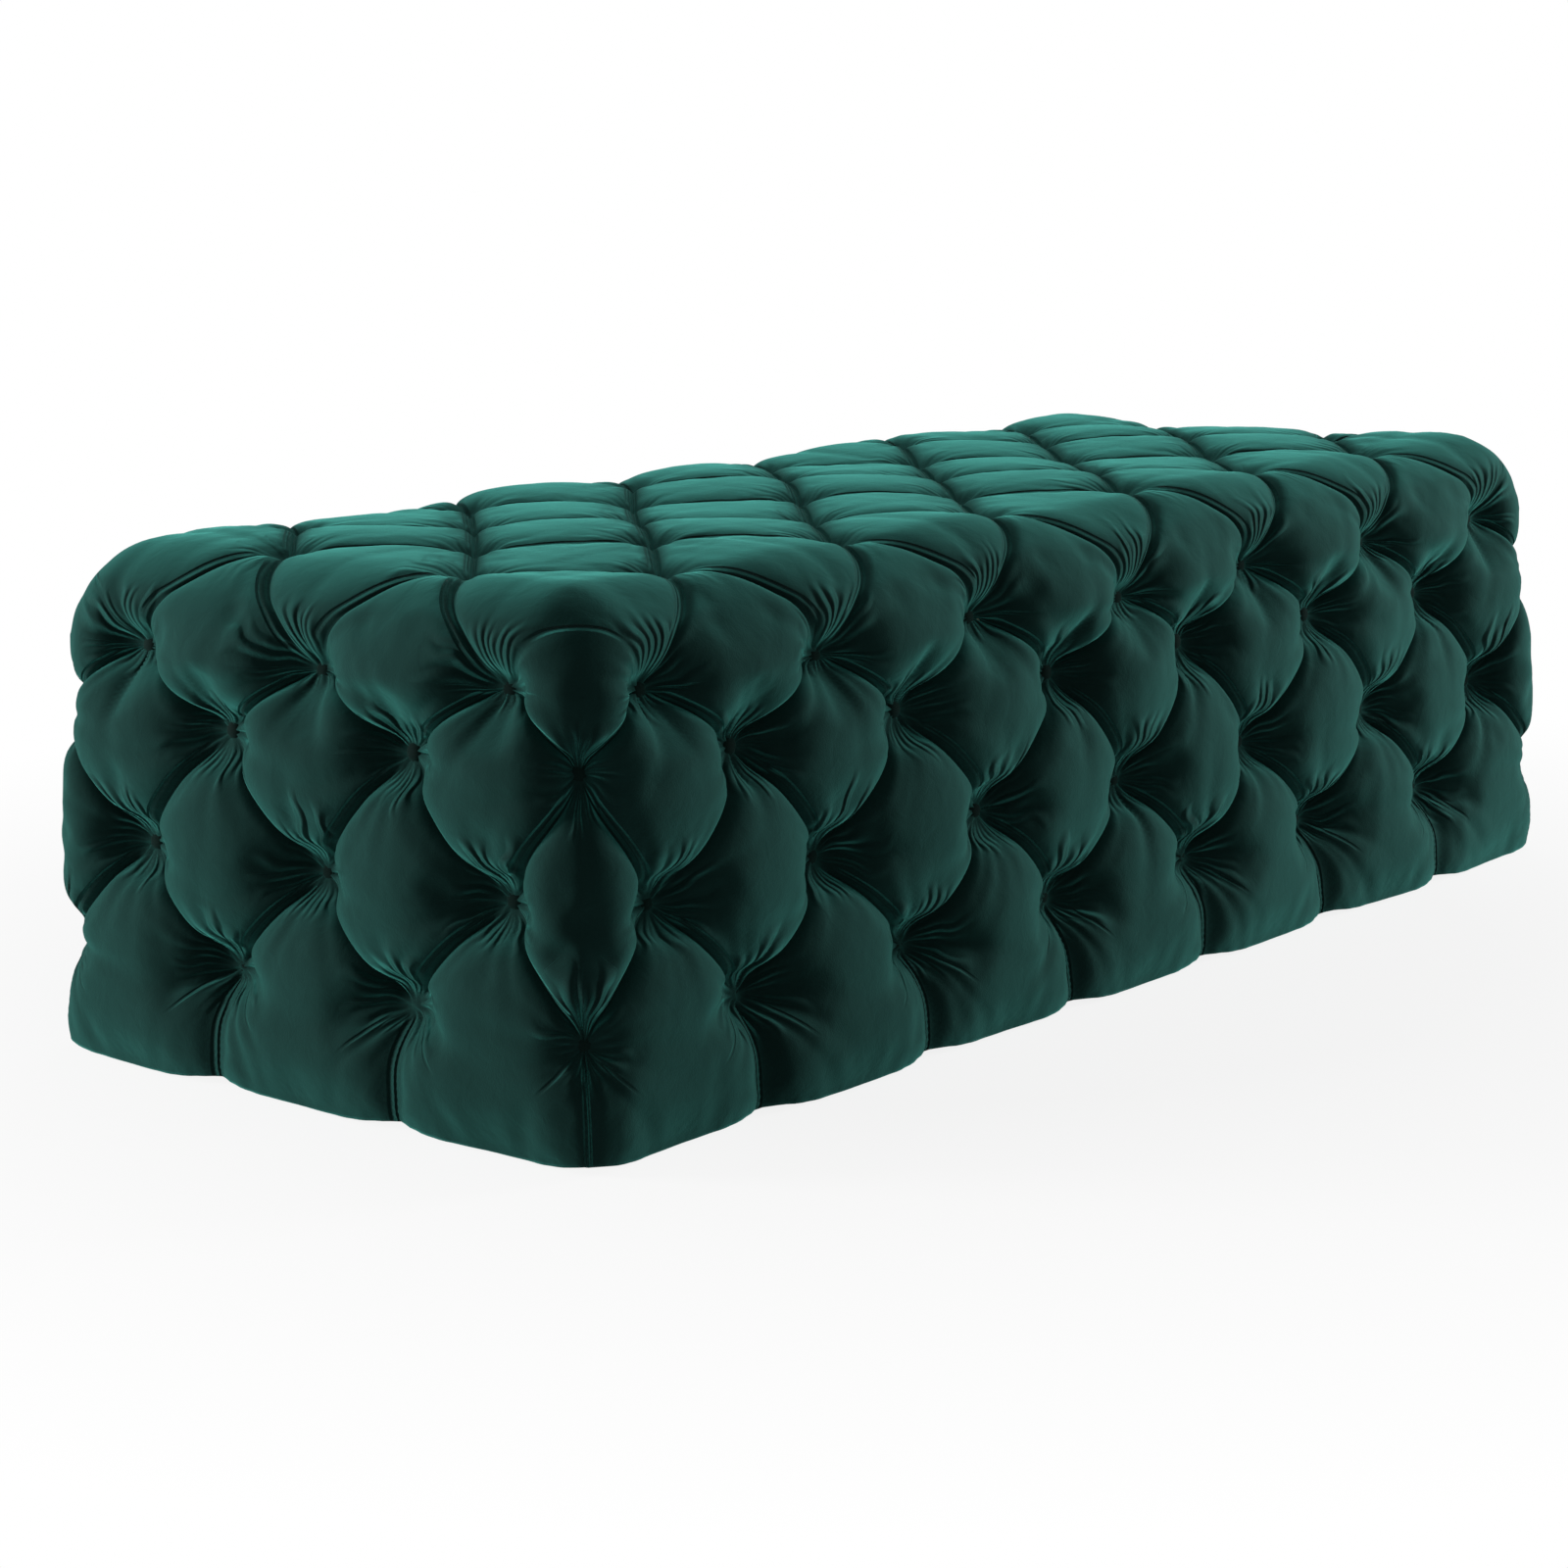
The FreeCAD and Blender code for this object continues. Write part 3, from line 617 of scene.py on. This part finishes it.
def press_from_inside(mesh):
    """Carry the pressed shape of the trial cover over to the finished one."""
    rest, shift = stuffed_shift()
    tree = KDTree(len(rest))
    for index, point in enumerate(rest):
        tree.insert(point, index)
    tree.balance()
    points = vertex_array(mesh)
    for index, point in enumerate(points):
        near = tree.find_n(point, PRESS_NEIGHBOURS)
        weight = np.array([math.exp(-(gap / PRESS_SPREAD) ** 2) + 1e-6 for _, _, gap in near])
        move = shift[[i for _, i, _ in near]]
        points[index] = point + (move * weight[:, None]).sum(axis=0) / weight.sum()
    mesh.vertices.foreach_set("co", points.ravel())
    mesh.update()


def add_piece(name, mesh, *nodes, slot=None):
    """Put a finished mesh in the scene as a piece that rides on the bench."""
    obj = bpy.data.objects.new(name, mesh)
    bpy.context.scene.collection.objects.link(obj)
    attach(obj, "root")
    if nodes:
        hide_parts(*nodes)
    return obj


def nodes_of(material):
    """A material's node tree and its shader."""
    material.use_nodes = True
    tree = material.node_tree
    return tree, tree.nodes["Principled BSDF"]


def set_inputs(node, values):
    """Give a node's inputs their values by name."""
    for name, value in values.items():
        node.inputs[name].default_value = value


def calc(tree, operation, *values):
    """One sum in a material's nodes."""
    node = tree.nodes.new("ShaderNodeMath")
    node.operation = operation
    for socket, value in zip(node.inputs, values):
        if isinstance(value, (int, float)):
            socket.default_value = value
        else:
            tree.links.new(value, socket)
    return node.outputs[0]


def ramp(tree, value, low, high):
    """Nought below low, one above high, eased between them; falls where low is the greater."""
    node = tree.nodes.new("ShaderNodeMapRange")
    node.interpolation_type = "SMOOTHSTEP"
    set_inputs(node, {"From Min": min(low, high), "From Max": max(low, high),
                      "To Min": float(low > high), "To Max": float(low < high)})
    tree.links.new(value, node.inputs["Value"])
    return node.outputs["Result"]


def product(tree, first, *others):
    """All the values multiplied together."""
    for other in others:
        first = calc(tree, "MULTIPLY", first, other)
    return first


def off_whole(tree, value):
    """The nearest whole number and how far the value is past it."""
    whole = calc(tree, "ROUND", value)
    return whole, calc(tree, "SUBTRACT", value, whole)


def parts_of(tree, vector):
    """The three parts of a vector."""
    node = tree.nodes.new("ShaderNodeSeparateXYZ")
    tree.links.new(vector, node.inputs["Vector"])
    return node.outputs["X"], node.outputs["Y"], node.outputs["Z"]


def random_of(tree, value):
    """A node with its own random value and colour for each number."""
    node = tree.nodes.new("ShaderNodeTexWhiteNoise")
    node.noise_dimensions = "1D"
    tree.links.new(value, node.inputs["W"])
    return node


def noise(tree, vector, scale, detail, distortion=0.0):
    """Soft unevenness over a surface."""
    node = tree.nodes.new("ShaderNodeTexNoise")
    set_inputs(node, {"Scale": scale, "Detail": detail, "Distortion": distortion})
    tree.links.new(vector, node.inputs["Vector"])
    return node.outputs["Fac"]


def bump(tree, height, strength, distance, normal=None):
    """Relief from a height, on top of any relief so far."""
    node = tree.nodes.new("ShaderNodeBump")
    set_inputs(node, {"Strength": strength, "Distance": distance})
    tree.links.new(height, node.inputs["Height"])
    if normal:
        tree.links.new(normal, node.inputs["Normal"])
    return node.outputs["Normal"]


def two_tone(tree, value, *stops):
    """A colour that goes from the first stop's to the second's."""
    node = tree.nodes.new("ShaderNodeValToRGB")
    for element, (position, colour) in zip(node.color_ramp.elements, stops):
        element.position = position
        element.color = (*colour, 1.0)
    tree.links.new(value, node.inputs["Fac"])
    return node.outputs["Color"]


def shade(colour, share):
    """The colour made darker or lighter."""
    return tuple(share * c for c in colour)


def tuft_folds(tree, spot, du, dv, chance, held):
    """Folds that fan out of each tuft: long and strong above it, faint beside it, short below it."""
    half = sizes().pitch / 2
    x = product(tree, calc(tree, "ADD", du, dv), half)
    y = product(tree, calc(tree, "SUBTRACT", du, dv), half)
    wide = calc(tree, "ABSOLUTE", x)
    tall = calc(tree, "ABSOLUTE", y)
    r = calc(tree, "SQRT", calc(tree, "ADD", product(tree, x, x), product(tree, y, y)))
    waver = noise(tree, spot, scale=22.0, detail=1.0)
    angle = calc(tree, "MULTIPLY_ADD", waver, 0.7, calc(tree, "ARCTAN2", y, x))
    start = ramp(tree, r, 0.009, 0.034)
    above = calc(tree, "SUBTRACT", y, wide)
    beside = calc(tree, "SUBTRACT", wide, tall)
    below = calc(tree, "SUBTRACT", product(tree, y, -1.0), wide)
    heights = []
    # For each direction: how many folds a full turn has, their height, shortest length and spread.
    for toward, count, tallest, shortest, spread in ((above, 23, 0.0076, 0.048, 0.042),
                                                     (beside, 24, 0.0044, 0.040, 0.030),
                                                     (below, 25, 0.0042, 0.030, 0.026)):
        turn = calc(tree, "MULTIPLY_ADD", angle, count / math.tau, product(tree, chance, count))
        fold = random_of(tree, calc(tree, "FLOOR", turn))
        length = calc(tree, "MULTIPLY_ADD", fold.outputs["Value"], spread, shortest)
        fade = ramp(tree, calc(tree, "DIVIDE", r, length), 1.0, 0.55)
        groove = calc(tree, "SINE", product(tree, calc(tree, "FRACT", turn), math.pi))
        groove = calc(tree, "POWER", groove, 1.6)
        share = calc(tree, "MULTIPLY_ADD", fold.outputs["Color"], 0.9, 0.1)
        sector = ramp(tree, calc(tree, "DIVIDE", toward, r), 0.0, 0.22)
        heights.append(product(tree, groove, share, held, fade, start, sector, tallest))
    return heights


def pleat_tucks(tree, spot, du, dv, down, level):
    """Tucks of spare cloth on the upper side of the pleats, and the thin line of a level pleat."""
    s = sizes()
    across = s.pitch / math.sqrt(2)
    x, y, z = parts_of(tree, spot)
    # The corner puffs have no tuck across them.
    off_corner = ramp(tree, z, s.row_heights[0] + 0.012, s.row_heights[0] - 0.004)
    for place, end in ((x, CAD_HIGH.x), (y, CAD_HIGH.y)):
        inner = ramp(tree, calc(tree, "ABSOLUTE", place), end - 0.100, end - 0.125)
        off_corner = calc(tree, "MAXIMUM", off_corner, inner)
    over_hem = ramp(tree, down, 0.55 - SIDE_ROWS, 0.9 - SIDE_ROWS)
    heights = []
    for beside, along in ((du, dv), (product(tree, dv, -1.0), du)):
        off = calc(tree, "ABSOLUTE", calc(tree, "MULTIPLY_ADD", beside, across, -0.0064))
        run = ramp(tree, product(tree, calc(tree, "ABSOLUTE", along), across), 0.020, 0.040)
        line = ramp(tree, off, 0.0026, 0.0004)
        heights.append(product(tree, line, run, over_hem, off_corner, -0.0034))
        middle = calc(tree, "ABSOLUTE", product(tree, beside, across))
        line = ramp(tree, middle, 0.0034, 0.0004)
        heights.append(product(tree, line, level, -0.0045))
    return heights


def hem_pleats(tree, u, v, down):
    """The straight pleat that drops from each of the lowest tufts to the hem."""
    column = product(tree, calc(tree, "ADD", calc(tree, "ADD", u, v), -1.0), 0.5)
    off = product(tree, off_whole(tree, column)[1], sizes().pitch)
    drop = ramp(tree, down, 0.95 - SIDE_ROWS, 0.75 - SIDE_ROWS)
    heights = []
    for shift, depth in ((0.0, 0.0050), (0.0062, 0.0022)):
        line = ramp(tree, calc(tree, "ABSOLUTE", calc(tree, "ADD", off, shift)), 0.0034, 0.0002)
        heights.append(product(tree, line, drop, -depth))
    return heights


def fold_height(tree, spot):
    """Height in metres of the fine folds round each tuft and of the tucks beside each pleat."""
    s = sizes()
    lattice = tree.nodes.new("ShaderNodeUVMap")
    lattice.uv_map = LATTICE
    u, v, _ = parts_of(tree, lattice.outputs["UV"])
    tuft_u, du = off_whole(tree, u)
    tuft_v, dv = off_whole(tree, v)
    down = calc(tree, "SUBTRACT", u, v)
    level = ramp(tree, parts_of(tree, spot)[2], s.height - 0.040, s.height - 0.018)
    # The hem's own lattice points carry no tuft, and the level seat has faint folds.
    held = calc(tree, "GREATER_THAN", calc(tree, "SUBTRACT", tuft_u, tuft_v), 0.5 - SIDE_ROWS)
    held = product(tree, held, calc(tree, "MULTIPLY_ADD", level, -0.85, 1.0))
    key = calc(tree, "MULTIPLY_ADD", tuft_u, 7.31, product(tree, tuft_v, 3.17))
    chance = random_of(tree, key).outputs["Value"]
    heights = tuft_folds(tree, spot, du, dv, chance, held)
    heights += pleat_tucks(tree, spot, du, dv, down, level)
    heights += hem_pleats(tree, u, v, down)
    total = heights[0]
    for height in heights[1:]:
        total = calc(tree, "ADD", total, height)
    return total


def velvet_material(name, colour, sheen, weight=0.62, folds=False):
    """Short-pile velvet: a deep base, a bright rim of pile tips and a brushed nap."""
    material = bpy.data.materials.new(name)
    tree, shader = nodes_of(material)
    set_inputs(shader, {"Roughness": 0.9, "Specular IOR Level": 0.10, "Sheen Weight": weight,
                        "Sheen Roughness": 0.53, "Sheen Tint": (*sheen, 1.0)})
    spot = tree.nodes.new("ShaderNodeTexCoord").outputs["Object"]
    nap = noise(tree, spot, scale=9.0, detail=4.0)
    tone = two_tone(tree, nap, (0.32, shade(colour, 0.7)), (0.68, shade(colour, 1.35)))
    tree.links.new(tone, shader.inputs["Base Color"])
    relief = None
    if folds:
        relief = bump(tree, fold_height(tree, spot), strength=1.0, distance=1.0)
    brushed = noise(tree, spot, scale=55.0, detail=3.0, distortion=0.6)
    relief = bump(tree, brushed, strength=0.5, distance=0.0012, normal=relief)
    pile = noise(tree, spot, scale=750.0, detail=2.0)
    relief = bump(tree, pile, strength=0.3, distance=0.0006, normal=relief)
    tree.links.new(relief, shader.inputs["Normal"])
    return material


def relax(mesh):
    """Take the last roughness of the grid out of the cloth."""
    bm = bmesh.new()
    bm.from_mesh(mesh)
    inner = [v for v in bm.verts if not v.is_boundary]
    bmesh.ops.smooth_vert(bm, verts=inner, factor=0.4,
                          use_axis_x=True, use_axis_y=True, use_axis_z=True)
    bm.to_mesh(mesh)
    bm.free()


def turn_hem(mesh):
    """Turn the bottom edge of the cover in under the frame."""
    bm = bmesh.new()
    bm.from_mesh(mesh)
    edges = [e for e in bm.edges if e.is_boundary]
    if not edges or max(v.co.z for e in edges for v in e.verts) > 0.03:
        raise RuntimeError("the cover is not closed above its hem")
    s = sizes()
    for inset, height in HEM_TURNS:
        made = bmesh.ops.extrude_edge_only(bm, edges=edges)["geom"]
        edges = [g for g in made if isinstance(g, bmesh.types.BMEdge)]
        for vert in (g for g in made if isinstance(g, bmesh.types.BMVert)):
            limit_x = s.length / 2 - inset - 0.010
            limit_y = s.width / 2 - inset - 0.010
            vert.co.x = max(-limit_x, min(limit_x, vert.co.x))
            vert.co.y = max(-limit_y, min(limit_y, vert.co.y))
            vert.co.z = height if inset > HEM_TURNS[0][0] else min(vert.co.z, height + 0.004)
    bmesh.ops.recalc_face_normals(bm, faces=bm.faces[:])
    for face in bm.faces:
        face.smooth = True
    bm.to_mesh(mesh)
    bm.free()


class BENCH_OT_velvet_cover(bpy.types.Operator):
    """Lay the tufted velvet over the frame, down to its turned-in hem"""

    bl_idname = "bench.velvet_cover"
    bl_label = "Velvet cover"

    def execute(self, context):
        s = sizes()
        f = finish()
        mesh = cover_mesh("velvet_cover", s.cells, s.gather)
        press_from_inside(mesh)
        relax(mesh)
        turn_hem(mesh)
        cover = add_piece("velvet_cover", mesh, *COVER_NODES, slot="velvet")
        mesh.materials.append(velvet_material("velvet", f.velvet, f.velvet_sheen, folds=True))
        return {"FINISHED"}


class BENCH_OT_buttons(bpy.types.Operator):
    """Seat a covered button at the bottom of each tuft"""

    bl_idname = "bench.buttons"
    bl_label = "Covered buttons"

    def execute(self, context):
        s = sizes()
        bm = bmesh.new()
        for place, facing, _ in all_tufts():
            flat, normal = rounded(np.array([place]))
            depth = tuft_strength(facing) * s.tuft_depth + s.crown_rise + BUTTON_SINK
            out = Vector(normal[0])
            seat = Matrix.Translation(Vector(settled(flat - normal * depth)[0]))
            turned = seat @ out.to_track_quat("Z", "Y").to_matrix().to_4x4()
            button = bmesh.new()
            line = [button.verts.new((x, 0.0, z)) for x, z in BUTTON_OUTLINE]
            for first, second in zip(line, line[1:]):
                button.edges.new((first, second))
            bmesh.ops.spin(button, geom=button.verts[:] + button.edges[:], axis=(0, 0, 1),
                           cent=(0, 0, 0), angle=math.tau, steps=12, use_merge=True)
            bmesh.ops.remove_doubles(button, verts=button.verts[:], dist=1e-5)
            bmesh.ops.holes_fill(button, edges=button.edges[:], sides=0)
            bmesh.ops.recalc_face_normals(button, faces=button.faces[:])
            bmesh.ops.transform(button, matrix=turned, verts=button.verts[:])
            mesh = mesh_from(button, "button")
            bm.from_mesh(mesh)
            bpy.data.meshes.remove(mesh)
        mesh = mesh_from(bm, "covered_buttons", smooth=True)
        add_piece("covered_buttons", mesh, *BUTTON_NODES, slot="button_velvet")
        f = finish()
        # Painted shade: a darker colour and a weak sheen stand in for the shade at the bottom of each pit.
        mesh.materials.append(velvet_material("button_velvet", f.button_velvet, f.velvet_sheen,
                                              weight=0.08))
        return {"FINISHED"}


def textured(name, dark, light, roughness, figure_scale, grain_scale, grain_height, stretch=EVEN):
    """A finish with uneven colour and a fine relief, both stretched along the material."""
    material = bpy.data.materials.new(name)
    tree, shader = nodes_of(material)
    set_inputs(shader, {"Roughness": roughness, "Specular IOR Level": 0.3})
    place = tree.nodes.new("ShaderNodeTexCoord")
    along = tree.nodes.new("ShaderNodeMapping")
    along.inputs["Scale"].default_value = stretch
    tree.links.new(place.outputs["Object"], along.inputs["Vector"])
    spot = along.outputs["Vector"]
    figure = noise(tree, spot, figure_scale, detail=6.0, distortion=1.2)
    tone = two_tone(tree, figure, (0.35, dark), (0.66, light))
    tree.links.new(tone, shader.inputs["Base Color"])
    grain = tree.nodes.new("ShaderNodeTexVoronoi")
    grain.inputs["Scale"].default_value = grain_scale
    tree.links.new(spot, grain.inputs["Vector"])
    relief = bump(tree, grain.outputs["Distance"], strength=0.4, distance=grain_height)
    tree.links.new(relief, shader.inputs["Normal"])
    return material


class BENCH_OT_frame_finish(bpy.types.Operator):
    """Finish the boards, posts, foam, twine and glides that the frame brings along"""

    bl_idname = "bench.frame_finish"
    bl_label = "Frame finish"

    def execute(self, context):
        f = finish()
        dark = shade(f.softwood, 0.72)
        grain = {}
        for axis, stretch in (("x", (1.0, 16.0, 16.0)), ("y", (16.0, 1.0, 16.0)),
                              ("z", (16.0, 16.0, 1.0))):
            grain[axis] = textured("softwood_" + axis, dark, f.softwood, 0.72, 4.0, 60.0, 0.0004, stretch)
        plywood = textured("plywood", shade(f.plywood, 0.78), f.plywood, 0.68, 5.0, 90.0, 0.0003,
                           (9.0, 1.0, 9.0))
        foam = textured("foam", shade(f.foam, 0.85), f.foam, 0.95, 14.0, 700.0, 0.0012)
        twine = textured("twine", shade(f.twine, 0.6), f.twine, 0.85, 500.0, 900.0, 0.0005)
        glide = textured("glide_plastic", f.glide, shade(f.glide, 1.6), 0.5, 300.0, 1500.0, 0.0001)
        for name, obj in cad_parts.items():
            if name in COVER_NODES or name in BUTTON_NODES or name == "dust_cover":
                continue
            if name.endswith("_foam"):
                finished = foam
            elif name.endswith("_twine"):
                finished = twine
            elif name == "glides":
                finished = glide
            elif name == "seat_slats":
                finished = plywood
            else:
                low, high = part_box(name)
                size = [high[i] - low[i] for i in range(3)]
                finished = grain["xyz"[size.index(max(size))]]
            if not obj.material_slots:
                obj.data.materials.append(finished)
            for place in obj.material_slots:
                place.material = finished
        return {"FINISHED"}


class BENCH_OT_underside(bpy.types.Operator):
    """Stretch the dust cloth under the frame and staple it round its edge"""

    bl_idname = "bench.underside"
    bl_label = "Underside"

    def execute(self, context):
        f = finish()
        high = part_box("dust_cover")[1]
        reach_x = high[0] - CLOTH_INSET
        reach_y = high[1] - CLOTH_INSET
        bm = bmesh.new()
        bmesh.ops.create_grid(bm, x_segments=74, y_segments=30, size=0.5)
        bmesh.ops.scale(bm, vec=(2 * reach_x, 2 * reach_y, 1.0), verts=bm.verts[:])
        border = bmesh.ops.inset_region(bm, faces=bm.faces[:], thickness=CLOTH_TURN, depth=0.0,
                                        use_boundary=True, use_even_offset=True)["faces"]
        hem = {v for face in border for v in face.verts}
        for vert in bm.verts:
            x, y = vert.co.x, vert.co.y
            edge = min(reach_x - abs(x), reach_y - abs(y))
            slack = math.sin(37.0 * x + 11.0 * y) * math.sin(29.0 * y - 8.0 * x)
            vert.co.z = 0.0060 + 0.0014 * min(1.0, edge / 0.05) + 0.0004 * slack * min(1.0, edge / 0.1)
            if vert in hem and edge < 0.012:
                vert.co.z -= 0.0004
        bmesh.ops.reverse_faces(bm, faces=bm.faces[:])
        if max(face.normal.z for face in bm.faces) > 0:
            raise RuntimeError("the dust cloth must face down")
        mesh = mesh_from(bm, "dust_cloth", smooth=True)
        light = shade(f.dust_cloth, 2.2)
        mesh.materials.append(textured("dust_cloth", f.dust_cloth, light, 0.95, 220.0, 420.0, 0.0006))
        cloth = add_piece("dust_cloth", mesh, "dust_cover", slot="dust_cloth")
        staples = self.staples(reach_x - STAPLE_INSET, reach_y - STAPLE_INSET)
        return {"FINISHED"}

    def staples(self, reach_x, reach_y):
        """Flat crowns of the staples, in a row all round the cloth's turned edge."""
        bm = bmesh.new()
        rows = []
        for count, along, across, turned in ((LONG_STAPLES, reach_x, reach_y, False),
                                             (END_STAPLES, reach_y, reach_x, True)):
            for step in range(count):
                place = -along + 2 * along * (step + 0.5) / count
                for side in (-1, 1):
                    if turned:
                        rows.append((side * across, place, math.pi / 2))
                    else:
                        rows.append((place, side * across, 0.0))
        for x, y, turn in rows:
            made = bmesh.ops.create_cube(bm, size=1.0)["verts"]
            shape = Matrix.Translation((x, y, STAPLE_HEIGHT)) @ Matrix.Rotation(turn, 4, "Z")
            shape = shape @ Matrix.Diagonal((*STAPLE_SIZE, 1.0))
            bmesh.ops.transform(bm, matrix=shape, verts=made)
            edges = list({e for v in made for e in v.link_edges})
            bmesh.ops.bevel(bm, geom=edges, offset=0.0002, segments=1, profile=0.5, affect="EDGES",
                            material=-1)
        mesh = mesh_from(bm, "staples")
        material = textured("staple_wire", (0.45, 0.45, 0.44), (0.62, 0.61, 0.59), 0.32,
                            800.0, 2500.0, 0.00005)
        material.node_tree.nodes["Principled BSDF"].inputs["Metallic"].default_value = 1.0
        mesh.materials.append(material)
        return add_piece("staples", mesh)


class BENCH_OT_stage(bpy.types.Operator):
    """Set the floor, the soft light and the camera"""

    bl_idname = "bench.stage"
    bl_label = "Stage"

    def execute(self, context):
        scene = context.scene
        scene.view_settings.view_transform = "Standard"
        bm = bmesh.new()
        bmesh.ops.create_grid(bm, x_segments=1, y_segments=1, size=30.0)
        mesh = mesh_from(bm, "floor")
        floor = bpy.data.objects.new("floor", mesh)
        scene.collection.objects.link(floor)
        mesh.materials.append(floor_material())
        scene.world = studio_world()
        for lamp in LAMPS:
            area_lamp(*lamp)
        scene.camera = corner_camera()
        return {"FINISHED"}


def corner_camera():
    """A camera that looks over the near corner along the seat."""
    forward = Vector((math.cos(CAMERA_AZIMUTH) * math.cos(CAMERA_ELEVATION),
                      math.sin(CAMERA_AZIMUTH) * math.cos(CAMERA_ELEVATION),
                      -math.sin(CAMERA_ELEVATION)))
    level = Vector((math.sin(CAMERA_AZIMUTH), -math.cos(CAMERA_AZIMUTH), 0.0))
    upright = level.cross(forward)
    right = level * math.cos(CAMERA_ROLL) + upright * math.sin(CAMERA_ROLL)
    up = upright * math.cos(CAMERA_ROLL) - level * math.sin(CAMERA_ROLL)
    data = bpy.data.cameras.new("camera")
    data.sensor_fit = "HORIZONTAL"
    data.sensor_width = 36.0
    data.lens = CAMERA_LENS
    camera = bpy.data.objects.new("camera", data)
    camera.location = CAMERA_PLACE
    camera.rotation_euler = Matrix((right, up, -forward)).transposed().to_euler()
    bpy.context.scene.collection.objects.link(camera)
    return camera


def seen_directly(tree):
    """One where a ray comes straight from the eye, a mirror or a pane, and nought elsewhere."""
    path = tree.nodes.new("ShaderNodeLightPath")
    first = calc(tree, "MAXIMUM", path.outputs["Is Camera Ray"], path.outputs["Is Glossy Ray"])
    return calc(tree, "MAXIMUM", first, path.outputs["Is Transmission Ray"])


def mixed(tree, share, first, second, output):
    """Show the second shader by its share and the first by the rest."""
    mix = tree.nodes.new("ShaderNodeMixShader")
    tree.links.new(share, mix.inputs["Fac"])
    tree.links.new(first.outputs[0], mix.inputs[1])
    tree.links.new(second.outputs[0], mix.inputs[2])
    tree.links.new(mix.outputs[0], tree.nodes[output].inputs["Surface"])


def floor_material():
    """A pale floor that looks white and keeps a light shadow."""
    material = bpy.data.materials.new("floor")
    tree, shader = nodes_of(material)
    set_inputs(shader, {"Base Color": (0.86, 0.86, 0.86, 1.0), "Roughness": 0.9, "Specular IOR Level": 0.0})
    white = tree.nodes.new("ShaderNodeEmission")
    set_inputs(white, {"Color": WHITE, "Strength": 1.0})
    place = tree.nodes.new("ShaderNodeTexCoord")
    away = tree.nodes.new("ShaderNodeVectorMath")
    away.operation = "LENGTH"
    tree.links.new(place.outputs["Object"], away.inputs[0])
    fade = tree.nodes.new("ShaderNodeMapRange")
    set_inputs(fade, {"From Min": 0.6, "From Max": 1.5, "To Min": 0.86, "To Max": 1.0})
    tree.links.new(away.outputs["Value"], fade.inputs["Value"])
    share = product(tree, seen_directly(tree), fade.outputs["Result"])
    mixed(tree, share, shader, white, "Material Output")
    return material


def studio_world():
    """White behind the bench, and a lower even light on it."""
    world = bpy.data.worlds.new("studio")
    world.use_nodes = True
    tree = world.node_tree
    glow = tree.nodes["Background"]
    set_inputs(glow, {"Color": WHITE, "Strength": 0.14})
    white = tree.nodes.new("ShaderNodeBackground")
    set_inputs(white, {"Color": WHITE, "Strength": 1.0})
    mixed(tree, seen_directly(tree), glow, white, "World Output")
    return world


def area_lamp(name, place, target, side, power):
    """A soft square lamp that faces its target."""
    data = bpy.data.lights.new(name, "AREA")
    data.shape = "SQUARE"
    data.size = side
    data.energy = power
    lamp = bpy.data.objects.new(name, data)
    lamp.location = place
    lamp.rotation_euler = (Vector(target) - Vector(place)).to_track_quat("-Z", "Y").to_euler()
    bpy.context.scene.collection.objects.link(lamp)


class BENCH_PT_pieces(bpy.types.Panel):
    """Lists the pieces of the bench"""

    bl_idname = "BENCH_PT_pieces"
    bl_label = "Tufted bench"
    bl_space_type = "VIEW_3D"
    bl_region_type = "UI"
    bl_category = "Bench"

    def draw(self, context):
        for operator in OPERATORS:
            self.layout.operator(operator.bl_idname)


OPERATORS = (BENCH_OT_velvet_cover, BENCH_OT_buttons, BENCH_OT_underside, BENCH_OT_frame_finish,
             BENCH_OT_stage)
CLASSES = (BenchSizes, BenchFinish, *OPERATORS, BENCH_PT_pieces)


def register():
    for cls in CLASSES:
        bpy.utils.register_class(cls)
    bpy.types.Scene.bench_sizes = bpy.props.PointerProperty(type=BenchSizes)
    bpy.types.Scene.bench_finish = bpy.props.PointerProperty(type=BenchFinish)


def unregister():
    del bpy.types.Scene.bench_finish
    del bpy.types.Scene.bench_sizes
    for cls in reversed(CLASSES):
        bpy.utils.unregister_class(cls)


def main():
    """Build the bench on its frame."""
    register()
    bpy.ops.bench.velvet_cover()
    bpy.ops.bench.buttons()
    bpy.ops.bench.underside()
    bpy.ops.bench.frame_finish()
    bpy.ops.bench.stage()


if __name__ == "__main__":
    main()
